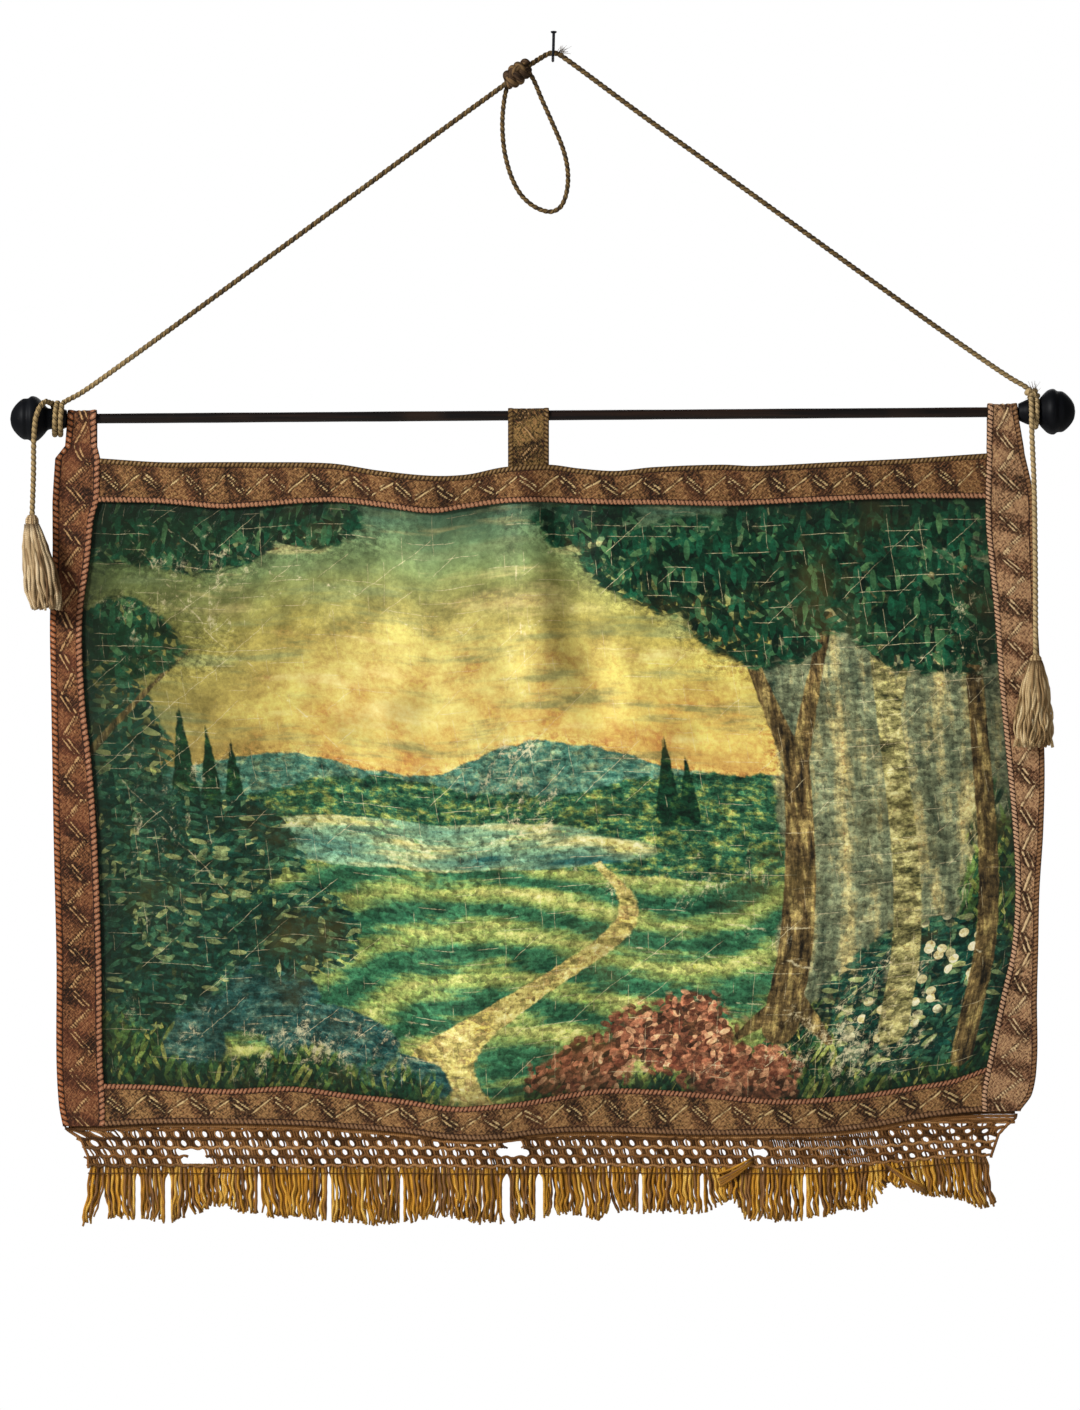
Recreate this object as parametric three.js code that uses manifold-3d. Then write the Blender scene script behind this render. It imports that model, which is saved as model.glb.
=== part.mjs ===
// A printed wall tapestry with galloon borders, a knotted net and a fringe, on a rod, a cord and a nail.
// Millimetres, +Z up, the viewer looks along +Y. The origin is where the nail meets the wall, which is y = 0.
import * as THREE from "three";
import { mergeVertices } from "three/addons/utils/BufferGeometryUtils.js";
import Module from "manifold-3d";

const wasm = await Module();
wasm.setup();

// Driving dimensions
const GAP = 0.3;
const CORD = 4.6;
const ROD_RADIUS = 4;
const ROD_LENGTH = 761.2;
const ROD_MIDDLE = { x: -8.2, y: -18.8, z: -287.5 };
const ROD_TILT_DEGREES = 0.41;
const HANG_DEPTH = -18.8;
const PANEL_THICKNESS = 1.2;
const GALLOON_THICKNESS = 2;
const GALLOON_CORDED_EDGE = 0.8;
const LAYER_GAP = 0.45;

// The net's sizes, and those of one of its holes.
const NET = { thickness: 2, middle: -0.6, bottom: -889.6, pitch: 11.2, rows: 4, rowHeight: 7.2, first: 5.4 };
const NET_HOLE = { halfWidth: 4.1, halfHeight: 3.5, leftLean: -1.2, rightLean: 2, from: 150, to: 350 };
const NET_END_SLOT = { x: 352.6, z: -855.6, halfWidth: 4.6, halfHeight: 4.4, lean: 3.4 };

// The fringe's narrow strip, and a lock's half width and half depth at its root, belly and tip.
const FRINGE_STRIP = { top: -889.9, bottom: -894.3, thickness: 3.2, behind: 0.8, steps: 26, overhang: 2.5 };
const LOCK_PITCH = 7.4;
const LOCK_ROOT_INSIDE = 1.5;
const LOCK = [
  { at: 0, sideways: 0, wide: 3.1, deep: 1.3 },
  { at: 0.4, sideways: 0.25, wide: 3.3, deep: 2 },
  { at: 1, sideways: 1, wide: 2.3, deep: 1.4 },
];

// The cloth's outline: the heights of the top and bottom strips' edges, and the places of the side strips'.
const TOP_STRIP = [
  { x: -362, upper: -322, lower: -357 },
  { x: -314, upper: -325, lower: -358 },
  { x: -268, upper: -325, lower: -362 },
  { x: -242, upper: -325, lower: -361 },
  { x: -178, upper: -326, lower: -357 },
  { x: -138, upper: -332, lower: -361 },
  { x: -98, upper: -336, lower: -366 },
  { x: -69, upper: -335, lower: -362 },
  { x: -39, upper: -329, lower: -358 },
  { x: -3, upper: -327, lower: -357 },
  { x: 21, upper: -330, lower: -358 },
  { x: 50, upper: -332, lower: -359 },
  { x: 80, upper: -329, lower: -359 },
  { x: 134, upper: -327, lower: -360 },
  { x: 162, upper: -328, lower: -359 },
  { x: 224, upper: -325, lower: -356 },
  { x: 286, upper: -322, lower: -354 },
  { x: 346, upper: -318, lower: -354 },
];
const BOTTOM_STRIP = [
  { x: -358, upper: -822, lower: -856 },
  { x: -318, upper: -823, lower: -854 },
  { x: -263, upper: -826, lower: -854 },
  { x: -208, upper: -824, lower: -855 },
  { x: -162, upper: -830, lower: -858 },
  { x: -122, upper: -834, lower: -861 },
  { x: -81, upper: -840, lower: -866 },
  { x: -44, upper: -838, lower: -866 },
  { x: -17, upper: -835, lower: -863 },
  { x: 11, upper: -830, lower: -861 },
  { x: 48, upper: -826, lower: -861 },
  { x: 118, upper: -829, lower: -863 },
  { x: 176, upper: -834, lower: -862 },
  { x: 214, upper: -833, lower: -861 },
  { x: 254, upper: -829, lower: -857 },
  { x: 292, upper: -823, lower: -850 },
  { x: 321, upper: -818, lower: -846 },
  { x: 346, upper: -809, lower: -844 },
];
const LEFT_STRIP = [
  { z: -855, outer: -392, inner: -358 },
  { z: -839, outer: -395, inner: -358 },
  { z: -803, outer: -397, inner: -360 },
  { z: -723, outer: -397, inner: -361 },
  { z: -635, outer: -399, inner: -364 },
  { z: -571, outer: -400, inner: -368 },
  { z: -515, outer: -401, inner: -374 },
  { z: -451, outer: -402, inner: -376 },
  { z: -403, outer: -400, inner: -370 },
  { z: -371, outer: -400, inner: -367 },
  { z: -355, outer: -400, inner: -363 },
  { z: -322, outer: -398, inner: -362 },
];
const RIGHT_STRIP = [
  { z: -843, outer: 374, inner: 343 },
  { z: -830, outer: 383, inner: 343 },
  { z: -803, outer: 387, inner: 348 },
  { z: -755, outer: 387, inner: 358 },
  { z: -715, outer: 388, inner: 367 },
  { z: -667, outer: 389, inner: 370 },
  { z: -619, outer: 392, inner: 368 },
  { z: -563, outer: 393, inner: 363 },
  { z: -499, outer: 390, inner: 357 },
  { z: -443, outer: 387, inner: 353 },
  { z: -382, outer: 385, inner: 347 },
  { z: -351, outer: 384, inner: 346 },
  { z: -318, outer: 377, inner: 347 },
];

// The folds: a line on the cloth, how far its slope reaches, and how far its crest stands out or dips.
const FOLDS = [
  { fromX: -18, fromZ: -362, toX: -10, toZ: -480, reach: 14, out: 8 },
  { fromX: 2, fromZ: -362, toX: 34, toZ: -505, reach: 14, out: -8 },
  { fromX: -108, fromZ: -344, toX: -92, toZ: -440, reach: 34, out: 5 },
  { fromX: 165, fromZ: -366, toX: 285, toZ: -420, reach: 18, out: -5 },
  { fromX: 344, fromZ: -390, toX: 360, toZ: -730, reach: 13, out: -4.5 },
  { fromX: -138, fromZ: -700, toX: -80, toZ: -805, reach: 18, out: -7 },
  { fromX: -60, fromZ: -770, toX: -62, toZ: -866, reach: 28, out: 8 },
  { fromX: 46, fromZ: -740, toX: 42, toZ: -866, reach: 30, out: -4.5 },
  { fromX: 160, fromZ: -770, toX: 188, toZ: -864, reach: 34, out: 5 },
  { fromX: -376, fromZ: -410, toX: -374, toZ: -560, reach: 26, out: 4 },
  { fromX: 150, fromZ: -678, toX: 330, toZ: -700, reach: 15, out: -3 },
  { fromX: 120, fromZ: -722, toX: 330, toZ: -748, reach: 15, out: 3 },
  { fromX: -300, fromZ: -560, toX: -240, toZ: -800, reach: 34, out: 4 },
  { fromX: 300, fromZ: -500, toX: 270, toZ: -620, reach: 36, out: 4.5 },
  { fromX: -160, fromZ: -470, toX: -190, toZ: -640, reach: 32, out: -4 },
];

// The rod loops, at the rod and where they meet the cloth.
const LEFT_LOOP = { leftTop: -388, rightTop: -365, leftFoot: -390, rightFoot: -364.5, midZ: -312 };
const RIGHT_LOOP = { leftTop: 347.5, rightTop: 371.2, leftFoot: 346.5, rightFoot: 376.5, midZ: -314 };
const MIDDLE_LOOP = { left: -36, right: -3.2, foot: -344, rise: 17, thickness: 1.6, behind: 0.5 };
const LOOP_BACK_FOOT = -340;
const LOOP_CLEARANCE = 0.6;
const LOOP_STEPS = 8;

// The turned finial, from its collar's inner end outwards.
const FINIAL = [
  { along: 0, radius: 6.8 },
  { along: 3, radius: 8.2 },
  { along: 8.5, radius: 10.2 },
  { along: 10.5, radius: 8.6 },
  { along: 15, radius: 8.8 },
  { along: 18.5, radius: 12.6 },
  { along: 23, radius: 16.9 },
  { along: 26, radius: 18.2 },
  { along: 28.4, radius: 18.2 },
  { along: 31, radius: 16.6 },
  { along: 35, radius: 16.2 },
  { along: 40.5, radius: 11.8 },
  { along: 44.2, radius: 6.2 },
];
const FINIAL_LENGTH = 45.5;

// The fringe: where a lock grows from the strip, and how far down and sideways its tip ends.
const FRINGE = [
  { x: -370, tip: -937, lean: -7 },
  { x: -358, tip: -928, lean: -3 },
  { x: -334, tip: -929, lean: 0 },
  { x: -316, tip: -931, lean: 0 },
  { x: -292, tip: -928, lean: 1 },
  { x: -277, tip: -920, lean: 0 },
  { x: -262, tip: -918, lean: 0 },
  { x: -251, tip: -924, lean: 1 },
  { x: -200, tip: -930, lean: 0 },
  { x: -154, tip: -933, lean: 1 },
  { x: -122, tip: -933, lean: 0 },
  { x: -90, tip: -928, lean: -1 },
  { x: -54, tip: -932, lean: 0 },
  { x: -30, tip: -930, lean: 1 },
  { x: -9, tip: -928, lean: -1 },
  { x: 13, tip: -926, lean: 0 },
  { x: 31, tip: -931, lean: 2 },
  { x: 50, tip: -922, lean: 1 },
  { x: 70, tip: -924, lean: 0 },
  { x: 118, tip: -923, lean: 2 },
  { x: 138, tip: -914, lean: 5 },
  { x: 158, tip: -929, lean: 0 },
  { x: 202, tip: -929, lean: -1 },
  { x: 230, tip: -922, lean: 0 },
  { x: 252, tip: -921, lean: 1 },
  { x: 264, tip: -903, lean: 3 },
  { x: 280, tip: -907, lean: 6 },
  { x: 298, tip: -911, lean: 5 },
  { x: 318, tip: -914, lean: 4 },
  { x: 336, tip: -919, lean: 6 },
  { x: 346, tip: -916, lean: 9 },
];

// The net's corners below its heading's left end, and at its right end.
const NET_LEFT_END = [
  { x: -369.5, z: NET.bottom },
  { x: -369.8, z: -880 },
  { x: -373.5, z: -874 },
  { x: -376.5, z: -866 },
  { x: -387.5, z: -867 },
  { x: -389.5, z: -859 },
];
const NET_RIGHT_END = [
  { x: 368, z: -850 },
  { x: 361, z: -856 },
  { x: 352.6, z: -866 },
];

// The torn places in the net, each drawn by its own corners in place of the regular holes there.
const TEARS = [
  { fromX: -300, toX: -272, corners: [[-297, -872], [-275, -873.5], [-284, -881.5]] },
  { fromX: -48, toX: -18, corners: [[-45, -878.5], [-41, -872], [-33, -870], [-25, -872], [-21, -878.5]] },
  { fromX: 154, toX: 173, corners: [[156, -871.5], [163.5, -873.5], [170.5, -871.5], [164, -879.5]] },
];

// The cord's route, point by point. The turns round the left neck are worked out below.
const KNOT = { x: -28.8, y: -12.2, z: -14, long: 13.2, wide: 10.6, deep: 10.6, angle: 36 };
const NAIL_PEAK = [-0.5, -4.1, 4.1];
const CORD_LEFT_TAIL = [
  [-415, -38.4, -366.8],
  [-413.8, -39, -335],
  [-413.6, -39.4, -312],
  [-413, -39.8, -300],
  [-412, -39.6, -291],
  [-409.4, -37, -282.6],
  [-405, -30, -277],
];
const CORD_LEFT_RISE = [
  [-377, -16.8, -269],
  [-340, -16.2, -242.8],
  [-250, -15.1, -177.1],
  [-160, -14, -111],
  [-80, -13, -52.2],
  [-44, -12.6, -26],
  [-39.6, -12.4, -22.1],
];
const CORD_LOOP = [
  [-37.4, -9.4, -25.8],
  [-40.2, -7.6, -44],
  [-40.3, -6.4, -62],
  [-38, -5.6, -79.5],
  [-32, -4.8, -98.6],
  [-24, -4.2, -111.6],
  [-13, -3.6, -120.2],
  [-1.6, -3.4, -123.2],
  [5.4, -3.4, -120],
  [9.6, -3.8, -112.6],
  [12, -4.4, -99.8],
  [11.4, -5, -86.8],
  [8, -5.6, -72.8],
  [0.6, -6.6, -54.8],
  [-9, -8, -33.4],
  [-15.8, -9.4, -17],
];
const CORD_RIGHT = [
  [-17.5, -11.2, -5.6],
  [-10, -6.9, -0.3],
  [-4.4, -4.6, 3.1],
  NAIL_PEAK,
  [4.2, -4.4, 3.2],
  [12, -4.9, -2],
  [70, -6.6, -45],
  [160, -9.4, -110],
  [250, -12.4, -175.4],
  [330, -15.4, -232.8],
  [366.6, -17, -257.6],
  [377.4, -18.2, -264.2],
];
const KNOT_RIDGES = { height: 0.09, slant: 2.4 };
const HITCH = { x: 383.4, y: -18.8, z: -270.3, long: 5.4, wide: 4.8, deep: 5.4, angle: -50 };
const HITCH_RING = { fromX: 386.2, toX: 385.8, radius: 12, turns: 0.83, startAngle: 0.17 * Math.PI };
const CORD_RIGHT_TAIL = [
  [382, -25.6, -273.4],
  [381.7, -30.2, -278],
  [381.7, -32.4, -286],
  [381.8, -33.2, -300],
  [382.6, -33.6, -320],
  [383.6, -33.8, -345],
  [384.4, -34.4, -400],
  [384.6, -35.2, -450],
  [384.6, -35.8, -478.2],
];
const NECK_TURNS = { fromX: -392, toX: -401, radius: 13.3, turns: 2, startAngle: 0.1 * Math.PI };
const NECK_STEPS = 12;

const TASSELS = {
  left: {
    head: { x: -415, y: -38.2, z: -367.4, height: 10, radius: 5.2 },
    skirt: { x: -405, halfWidth: 13.5, halfDepth: 9.5, bottom: -440 },
  },
  right: {
    head: { x: 384.6, y: -36, z: -478.8, height: 7, radius: 5.2 },
    skirt: { x: 382.4, halfWidth: 13.4, halfDepth: 9, bottom: -553 },
  },
};
const TASSEL_LOCKS = { outer: 12, inner: 5, innerReach: 0.42, width: 2.1, uneven: 5 };

// A tassel's head, as shares of its radius and height, and a lock's sections down its length.
const TASSEL_HEAD = [
  { wide: 0.62, down: 0.04 },
  { wide: 0.95, down: 0.35 },
  { wide: 1, down: 0.7 },
  { wide: 0.8, down: 1 },
  { wide: 1.05, down: 1.35 },
  { wide: 0.9, down: 1.55 },
];
const TASSEL_LOCK = [
  { at: 0, wide: 0.45, deep: 0.45 },
  { at: 0.3, wide: 0.7, deep: 0.62 },
  { at: 0.66, wide: 1, deep: 0.9 },
  { at: 1, wide: 0.88, deep: 0.8 },
];

// The nail: driven into the wall behind, bent up in front and leaning a little, with a flat head.
const NAIL = { radius: 1.3, behind: 22, front: -8.7, top: 20.3, bend: 2.6, leanX: 0.6, leanY: -0.8 };
const NAIL_HEAD = { radius: 2.5, height: 1.8 };

// Helpers

// A repeatable number from 0 to 1 for each whole number.
function chance(n) {
  const s = Math.sin(n * 127.1 + 11.7) * 43758.5453;
  return s - Math.floor(s);
}

function mix(a, b, t) {
  return a + (b - a) * t;
}

// A table's column at a place on its key, along a smooth curve through its rows.
function along(rows, key, column, at) {
  const step = rows[0][key] < rows[rows.length - 1][key] ? rows : [...rows].reverse();
  const last = step.length - 1;
  const place = Math.min(Math.max(at, step[0][key]), step[last][key]);
  let i = 0;
  while (i < last - 1 && place > step[i + 1][key]) i += 1;
  const slope = (k) => {
    const a = step[Math.max(k - 1, 0)];
    const b = step[Math.min(k + 1, last)];
    return (b[column] - a[column]) / (b[key] - a[key]);
  };
  const [a, b] = [step[i], step[i + 1]];
  const width = b[key] - a[key];
  const t = (place - a[key]) / width;
  const bend = t * (1 - t) * width * ((1 - t) * slope(i) - t * slope(i + 1));
  return mix(a[column], b[column], t * t * (3 - 2 * t)) + bend;
}

// How far from the wall the cloth's middle hangs at a place: the hanging depth and every fold's share.
function depthAt(x, z) {
  let out = 0;
  for (const fold of FOLDS) {
    const dx = fold.toX - fold.fromX;
    const dz = fold.toZ - fold.fromZ;
    const length = Math.hypot(dx, dz);
    const share = ((x - fold.fromX) * dx + (z - fold.fromZ) * dz) / (length * length);
    const near = Math.min(Math.max(share, 0), 1);
    const beyond = (share - near) * length;
    const across = ((x - fold.fromX) * dz - (z - fold.fromZ) * dx) / length;
    const fade = 1.6 * fold.reach;
    out += fold.out * Math.exp(-0.5 * ((across / fold.reach) ** 2 + (beyond / fade) ** 2));
  }
  return HANG_DEPTH - out;
}

function rodHeight(x) {
  return ROD_MIDDLE.z + (x - ROD_MIDDLE.x) * Math.tan((ROD_TILT_DEGREES * Math.PI) / 180);
}

// A closed slab from rows of places across it, each with a front and a back point, both as [x, y, z].
function slab(rows) {
  const [down, across] = [rows.length, rows[0].length];
  const points = [];
  for (const side of ["front", "back"]) {
    for (const row of rows) {
      for (const place of row) points.push(...place[side]);
    }
  }
  const at = (side, i, j) => (side * down + i) * across + j;
  const faces = [];
  for (let i = 0; i < down - 1; i += 1) {
    for (let j = 0; j < across - 1; j += 1) {
      const f = [at(0, i, j), at(0, i, j + 1), at(0, i + 1, j), at(0, i + 1, j + 1)];
      const b = [at(1, i, j), at(1, i, j + 1), at(1, i + 1, j), at(1, i + 1, j + 1)];
      faces.push(f[0], f[2], f[1], f[1], f[2], f[3]);
      faces.push(b[0], b[1], b[2], b[1], b[3], b[2]);
    }
  }
  const wall = (a, b, c, d) => faces.push(a, b, c, b, d, c);
  for (let j = 0; j < across - 1; j += 1) {
    wall(at(0, 0, j), at(0, 0, j + 1), at(1, 0, j), at(1, 0, j + 1));
    wall(at(0, down - 1, j + 1), at(0, down - 1, j), at(1, down - 1, j + 1), at(1, down - 1, j));
  }
  for (let i = 0; i < down - 1; i += 1) {
    wall(at(0, i + 1, 0), at(0, i, 0), at(1, i + 1, 0), at(1, i, 0));
    wall(at(0, i, across - 1), at(0, i + 1, across - 1), at(1, i, across - 1), at(1, i + 1, across - 1));
  }
  return indexed(points, faces);
}

function indexed(points, faces) {
  const geometry = new THREE.BufferGeometry();
  geometry.setAttribute("position", new THREE.Float32BufferAttribute(points, 3));
  geometry.setIndex(faces);
  return geometry;
}

function toSolid(geometry) {
  const bare = geometry.clone();
  bare.deleteAttribute("normal");
  bare.deleteAttribute("uv");
  const merged = mergeVertices(bare, 1e-3);
  return new wasm.Manifold(
    new wasm.Mesh({
      numProp: 3,
      vertProperties: new Float32Array(merged.attributes.position.array),
      triVerts: new Uint32Array(merged.index.array),
    }),
  );
}

function fromSolid(solid) {
  const mesh = solid.getMesh();
  return indexed([...mesh.vertProperties], [...mesh.triVerts]);
}

function joined(geometries) {
  return fromSolid(geometries.map(toSolid).reduce((whole, next) => whole.add(next)));
}

// A tapering strand with level sections: its rings' middles, half width and half depth, from the top down.
function strand(rings, sides, turn) {
  const points = [];
  for (const ring of rings) {
    for (let k = 0; k < sides; k += 1) {
      const angle = turn + (2 * Math.PI * k) / sides;
      const [x, y, z] = ring.middle;
      points.push(x + Math.cos(angle) * ring.wide, y + Math.sin(angle) * ring.deep, z);
    }
  }
  const faces = [];
  for (let i = 0; i < rings.length - 1; i += 1) {
    for (let k = 0; k < sides; k += 1) {
      const [a, b] = [i * sides + k, i * sides + ((k + 1) % sides)];
      faces.push(a, a + sides, b, b, a + sides, b + sides);
    }
  }
  const foot = (rings.length - 1) * sides;
  for (let k = 1; k < sides - 1; k += 1) {
    faces.push(0, k, k + 1);
    faces.push(foot, foot + k + 1, foot + k);
  }
  return indexed(points, faces);
}

// A curve whose steps fall evenly between its listed points, so close points give close steps.
class Route extends THREE.CatmullRomCurve3 {
  getUtoTmapping(u) {
    return u;
  }
}

// An eight-sided section for what is round and thin.
function roundSection(radius) {
  const sides = 8;
  const corner = (k) => (2 * Math.PI * k) / sides;
  const points = Array.from({ length: sides }, (_, k) => [Math.cos(corner(k)), Math.sin(corner(k))]);
  return new THREE.Shape(points.map(([x, y]) => new THREE.Vector2(x * radius, y * radius)));
}

// A plain tube of the cord along listed points, with a step at each of them.
function cordTube(points) {
  const path = new Route(points.map((p) => new THREE.Vector3(...p)), false, "centripetal");
  const steps = points.length - 1;
  return new THREE.ExtrudeGeometry(roundSection(CORD / 2), { steps, bevelEnabled: false, extrudePath: path });
}

// Turns of the cord round a rod's neck, from the top over the front, as listed points.
function neckTurns({ fromX, toX, radius, turns, startAngle }) {
  const count = Math.round(turns * NECK_STEPS);
  return Array.from({ length: count + 1 }, (_, i) => {
    const t = i / count;
    const angle = startAngle + turns * 2 * Math.PI * t;
    const x = mix(fromX, toX, t);
    return [x, ROD_MIDDLE.y - Math.sin(angle) * radius, rodHeight(x) + Math.cos(angle) * radius];
  });
}

// The cloth's grid

// A strip's own places across it: its two edges and the inner side of each corded edge.
const STRIP_PLACES = [0, 0.15, 0.85, 1];
const STRIP_LINES = STRIP_PLACES.length;
const PANEL_COLUMNS = 34;
const PANEL_ROWS = 15;

function isEdge(k) {
  return k === 0 || k === STRIP_LINES - 1;
}

// The grid's lines from one side to the other: both strips' lines, and even ones between them.
function gridLines(before, inside, after) {
  const strip = (name) => STRIP_PLACES.map((part) => ({ band: name, part }));
  const even = Array.from({ length: inside - 1 }, (_, i) => ({ band: "inside", part: (i + 1) / inside }));
  return [...strip(before), ...even, ...strip(after)];
}

const COLUMNS = gridLines("left", PANEL_COLUMNS, "right");
const ROWS = gridLines("top", PANEL_ROWS, "bottom");

function columnX(line, z) {
  const left = { outer: along(LEFT_STRIP, "z", "outer", z), inner: along(LEFT_STRIP, "z", "inner", z) };
  const right = { outer: along(RIGHT_STRIP, "z", "outer", z), inner: along(RIGHT_STRIP, "z", "inner", z) };
  if (line.band === "left") return mix(left.outer, left.inner, line.part);
  if (line.band === "right") return mix(right.inner, right.outer, line.part);
  return mix(left.inner, right.inner, line.part);
}

function rowZ(line, x) {
  const top = { upper: along(TOP_STRIP, "x", "upper", x), lower: along(TOP_STRIP, "x", "lower", x) };
  const bottom = { upper: along(BOTTOM_STRIP, "x", "upper", x), lower: along(BOTTOM_STRIP, "x", "lower", x) };
  if (line.band === "top") return mix(top.upper, top.lower, line.part);
  if (line.band === "bottom") return mix(bottom.upper, bottom.lower, line.part);
  return mix(top.lower, bottom.upper, line.part);
}

// Where two grid lines cross, settled by turns because each line's place depends on the other.
function crossing(column, row) {
  let [x, z] = [0, -600];
  for (let turn = 0; turn < 5; turn += 1) {
    x = columnX(COLUMNS[column], z);
    z = rowZ(ROWS[row], x);
  }
  return [x, depthAt(x, z), z];
}

const CROSSINGS = COLUMNS.map((_, c) => ROWS.map((__, r) => crossing(c, r)));

// A place on the cloth's middle between grid lines, where both numbers may have a fraction.
function clothPoint(column, row) {
  const c = Math.min(Math.floor(column), COLUMNS.length - 2);
  const r = Math.min(Math.floor(row), ROWS.length - 2);
  const [s, t] = [column - c, row - r];
  return [0, 1, 2].map((k) =>
    mix(
      mix(CROSSINGS[c][r][k], CROSSINGS[c + 1][r][k], s),
      mix(CROSSINGS[c][r + 1][k], CROSSINGS[c + 1][r + 1][k], s),
      t,
    ),
  );
}

function layer([x, y, z], front, back) {
  return { front: [x, y + front, z], back: [x, y + back, z] };
}

const PANEL_FRONT = -PANEL_THICKNESS / 2;
const PANEL_BACK = PANEL_THICKNESS / 2;
const GALLOON_BACK = PANEL_FRONT - LAYER_GAP;
const LEG_FRONT = PANEL_BACK + LAYER_GAP;

function galloonThickness(k) {
  return GALLOON_THICKNESS + (isEdge(k) ? GALLOON_CORDED_EDGE : 0);
}

function galloonLayer(point, k) {
  return layer(point, GALLOON_BACK - galloonThickness(k), GALLOON_BACK);
}

// A sample list from one number to another in whole steps, with the two ends as they are given.
function stations(from, to) {
  const inside = [];
  for (let n = Math.floor(from) + 1; n < to; n += 1) inside.push(n);
  return [from, ...inside, to];
}

// The pieces

function panelGeometry() {
  const columns = stations(0.35, COLUMNS.length - 1.35);
  const rows = stations(0.8, ROWS.length - 2.5);
  return slab(rows.map((r) => columns.map((c) => layer(clothPoint(c, r), PANEL_FRONT, PANEL_BACK))));
}

function crossStripGeometry(firstRow) {
  const inset = 0.02;
  const first = STRIP_LINES - 1;
  const columns = stations(first + inset, COLUMNS.length - 1 - first - inset);
  return slab(STRIP_PLACES.map((_, k) => columns.map((c) => galloonLayer(clothPoint(c, firstRow + k), k))));
}

// A point over the rod, from in front of it at an angle of 0 to behind it at half a turn.
function overRod(x, radius, angle) {
  return [x, ROD_MIDDLE.y - Math.cos(angle) * radius, rodHeight(x) + Math.sin(angle) * radius];
}

// The rows that carry a strip over the rod, from behind it to in front of it.
function archRows(across, thickness) {
  const inner = ROD_RADIUS + LOOP_CLEARANCE;
  return Array.from({ length: LOOP_STEPS + 1 }, (_, i) => {
    const angle = Math.PI * (1 - i / LOOP_STEPS);
    return across.map((x, k) => ({
      front: overRod(x, inner + thickness(k), angle),
      back: overRod(x, inner, angle),
    }));
  });
}

// A side strip from its short leg behind the cloth, over the rod and down the cloth's side.
function sideStripGeometry(firstColumn, loop) {
  const across = (t) => {
    const left = mix(loop.leftFoot, loop.leftTop, t);
    const right = mix(loop.rightFoot, loop.rightTop, t);
    return STRIP_PLACES.map((part) => mix(left, right, part));
  };
  const behind = HANG_DEPTH + LEG_FRONT;
  const legRow = across(0.3).map((x) => ({
    front: [x, behind + GALLOON_THICKNESS, LOOP_BACK_FOOT],
    back: [x, behind, LOOP_BACK_FOOT],
  }));
  const inFront = mix(HANG_DEPTH + GALLOON_BACK, ROD_MIDDLE.y - ROD_RADIUS - LOOP_CLEARANCE, 0.25);
  const footRow = across(0).map((x, k) => ({
    front: [x, inFront - galloonThickness(k), loop.midZ],
    back: [x, inFront, loop.midZ],
  }));
  const clothRows = ROWS.map((_, r) =>
    STRIP_PLACES.map((__, k) => galloonLayer(clothPoint(firstColumn + k, r), k)),
  );
  return slab([legRow, ...archRows(across(1), galloonThickness), footRow, ...clothRows]);
}

// The middle loop, whose two legs both end behind the cloth.
function middleLoopGeometry() {
  const { left, right, foot, rise, thickness, behind } = MIDDLE_LOOP;
  const across = STRIP_PLACES.map((part) => mix(left, right, part));
  const legRow = (z, layers) =>
    across.map((x) => {
      const y = depthAt(x, z) + LEG_FRONT + behind + layers * (thickness + GAP);
      return { front: [x, y, z], back: [x, y + thickness, z] };
    });
  const turned = (row) => row.map(({ front, back }) => ({ front: back, back: front }));
  return slab([
    turned(legRow(foot, 1)),
    turned(legRow(foot + rise, 1)),
    ...archRows(across, () => thickness),
    legRow(foot + rise, 0),
    legRow(foot, 0),
  ]);
}

// The net's outline: under the strips' lower edges at the top, drawn in below its heading's ends.
function netOutline() {
  const heading = COLUMNS.map((_, c) => clothPoint(c, ROWS.length - 1)).map(([x, , z]) => [x, z - 1.2 * GAP]);
  const flat = ({ x, z }) => [x, z];
  const corners = [...NET_LEFT_END.map(flat), ...heading.slice(1, -2), ...NET_RIGHT_END.map(flat)];
  for (let x = 346.5; x > -366; x -= 2 * NET.pitch) corners.push([x, NET.bottom + 0.5 * chance(x)]);
  return new THREE.Shape(corners.reverse().map((p) => new THREE.Vector2(...p)));
}

// One hole's four corners about its middle, leaning sideways by a share of its height.
function diamond({ x, z, halfWidth, halfHeight, lean }) {
  const hole = new THREE.Path();
  hole.moveTo(x - halfWidth, z);
  hole.lineTo(x - lean, z - halfHeight);
  hole.lineTo(x + halfWidth, z);
  hole.lineTo(x + lean, z + halfHeight);
  return hole;
}

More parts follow.
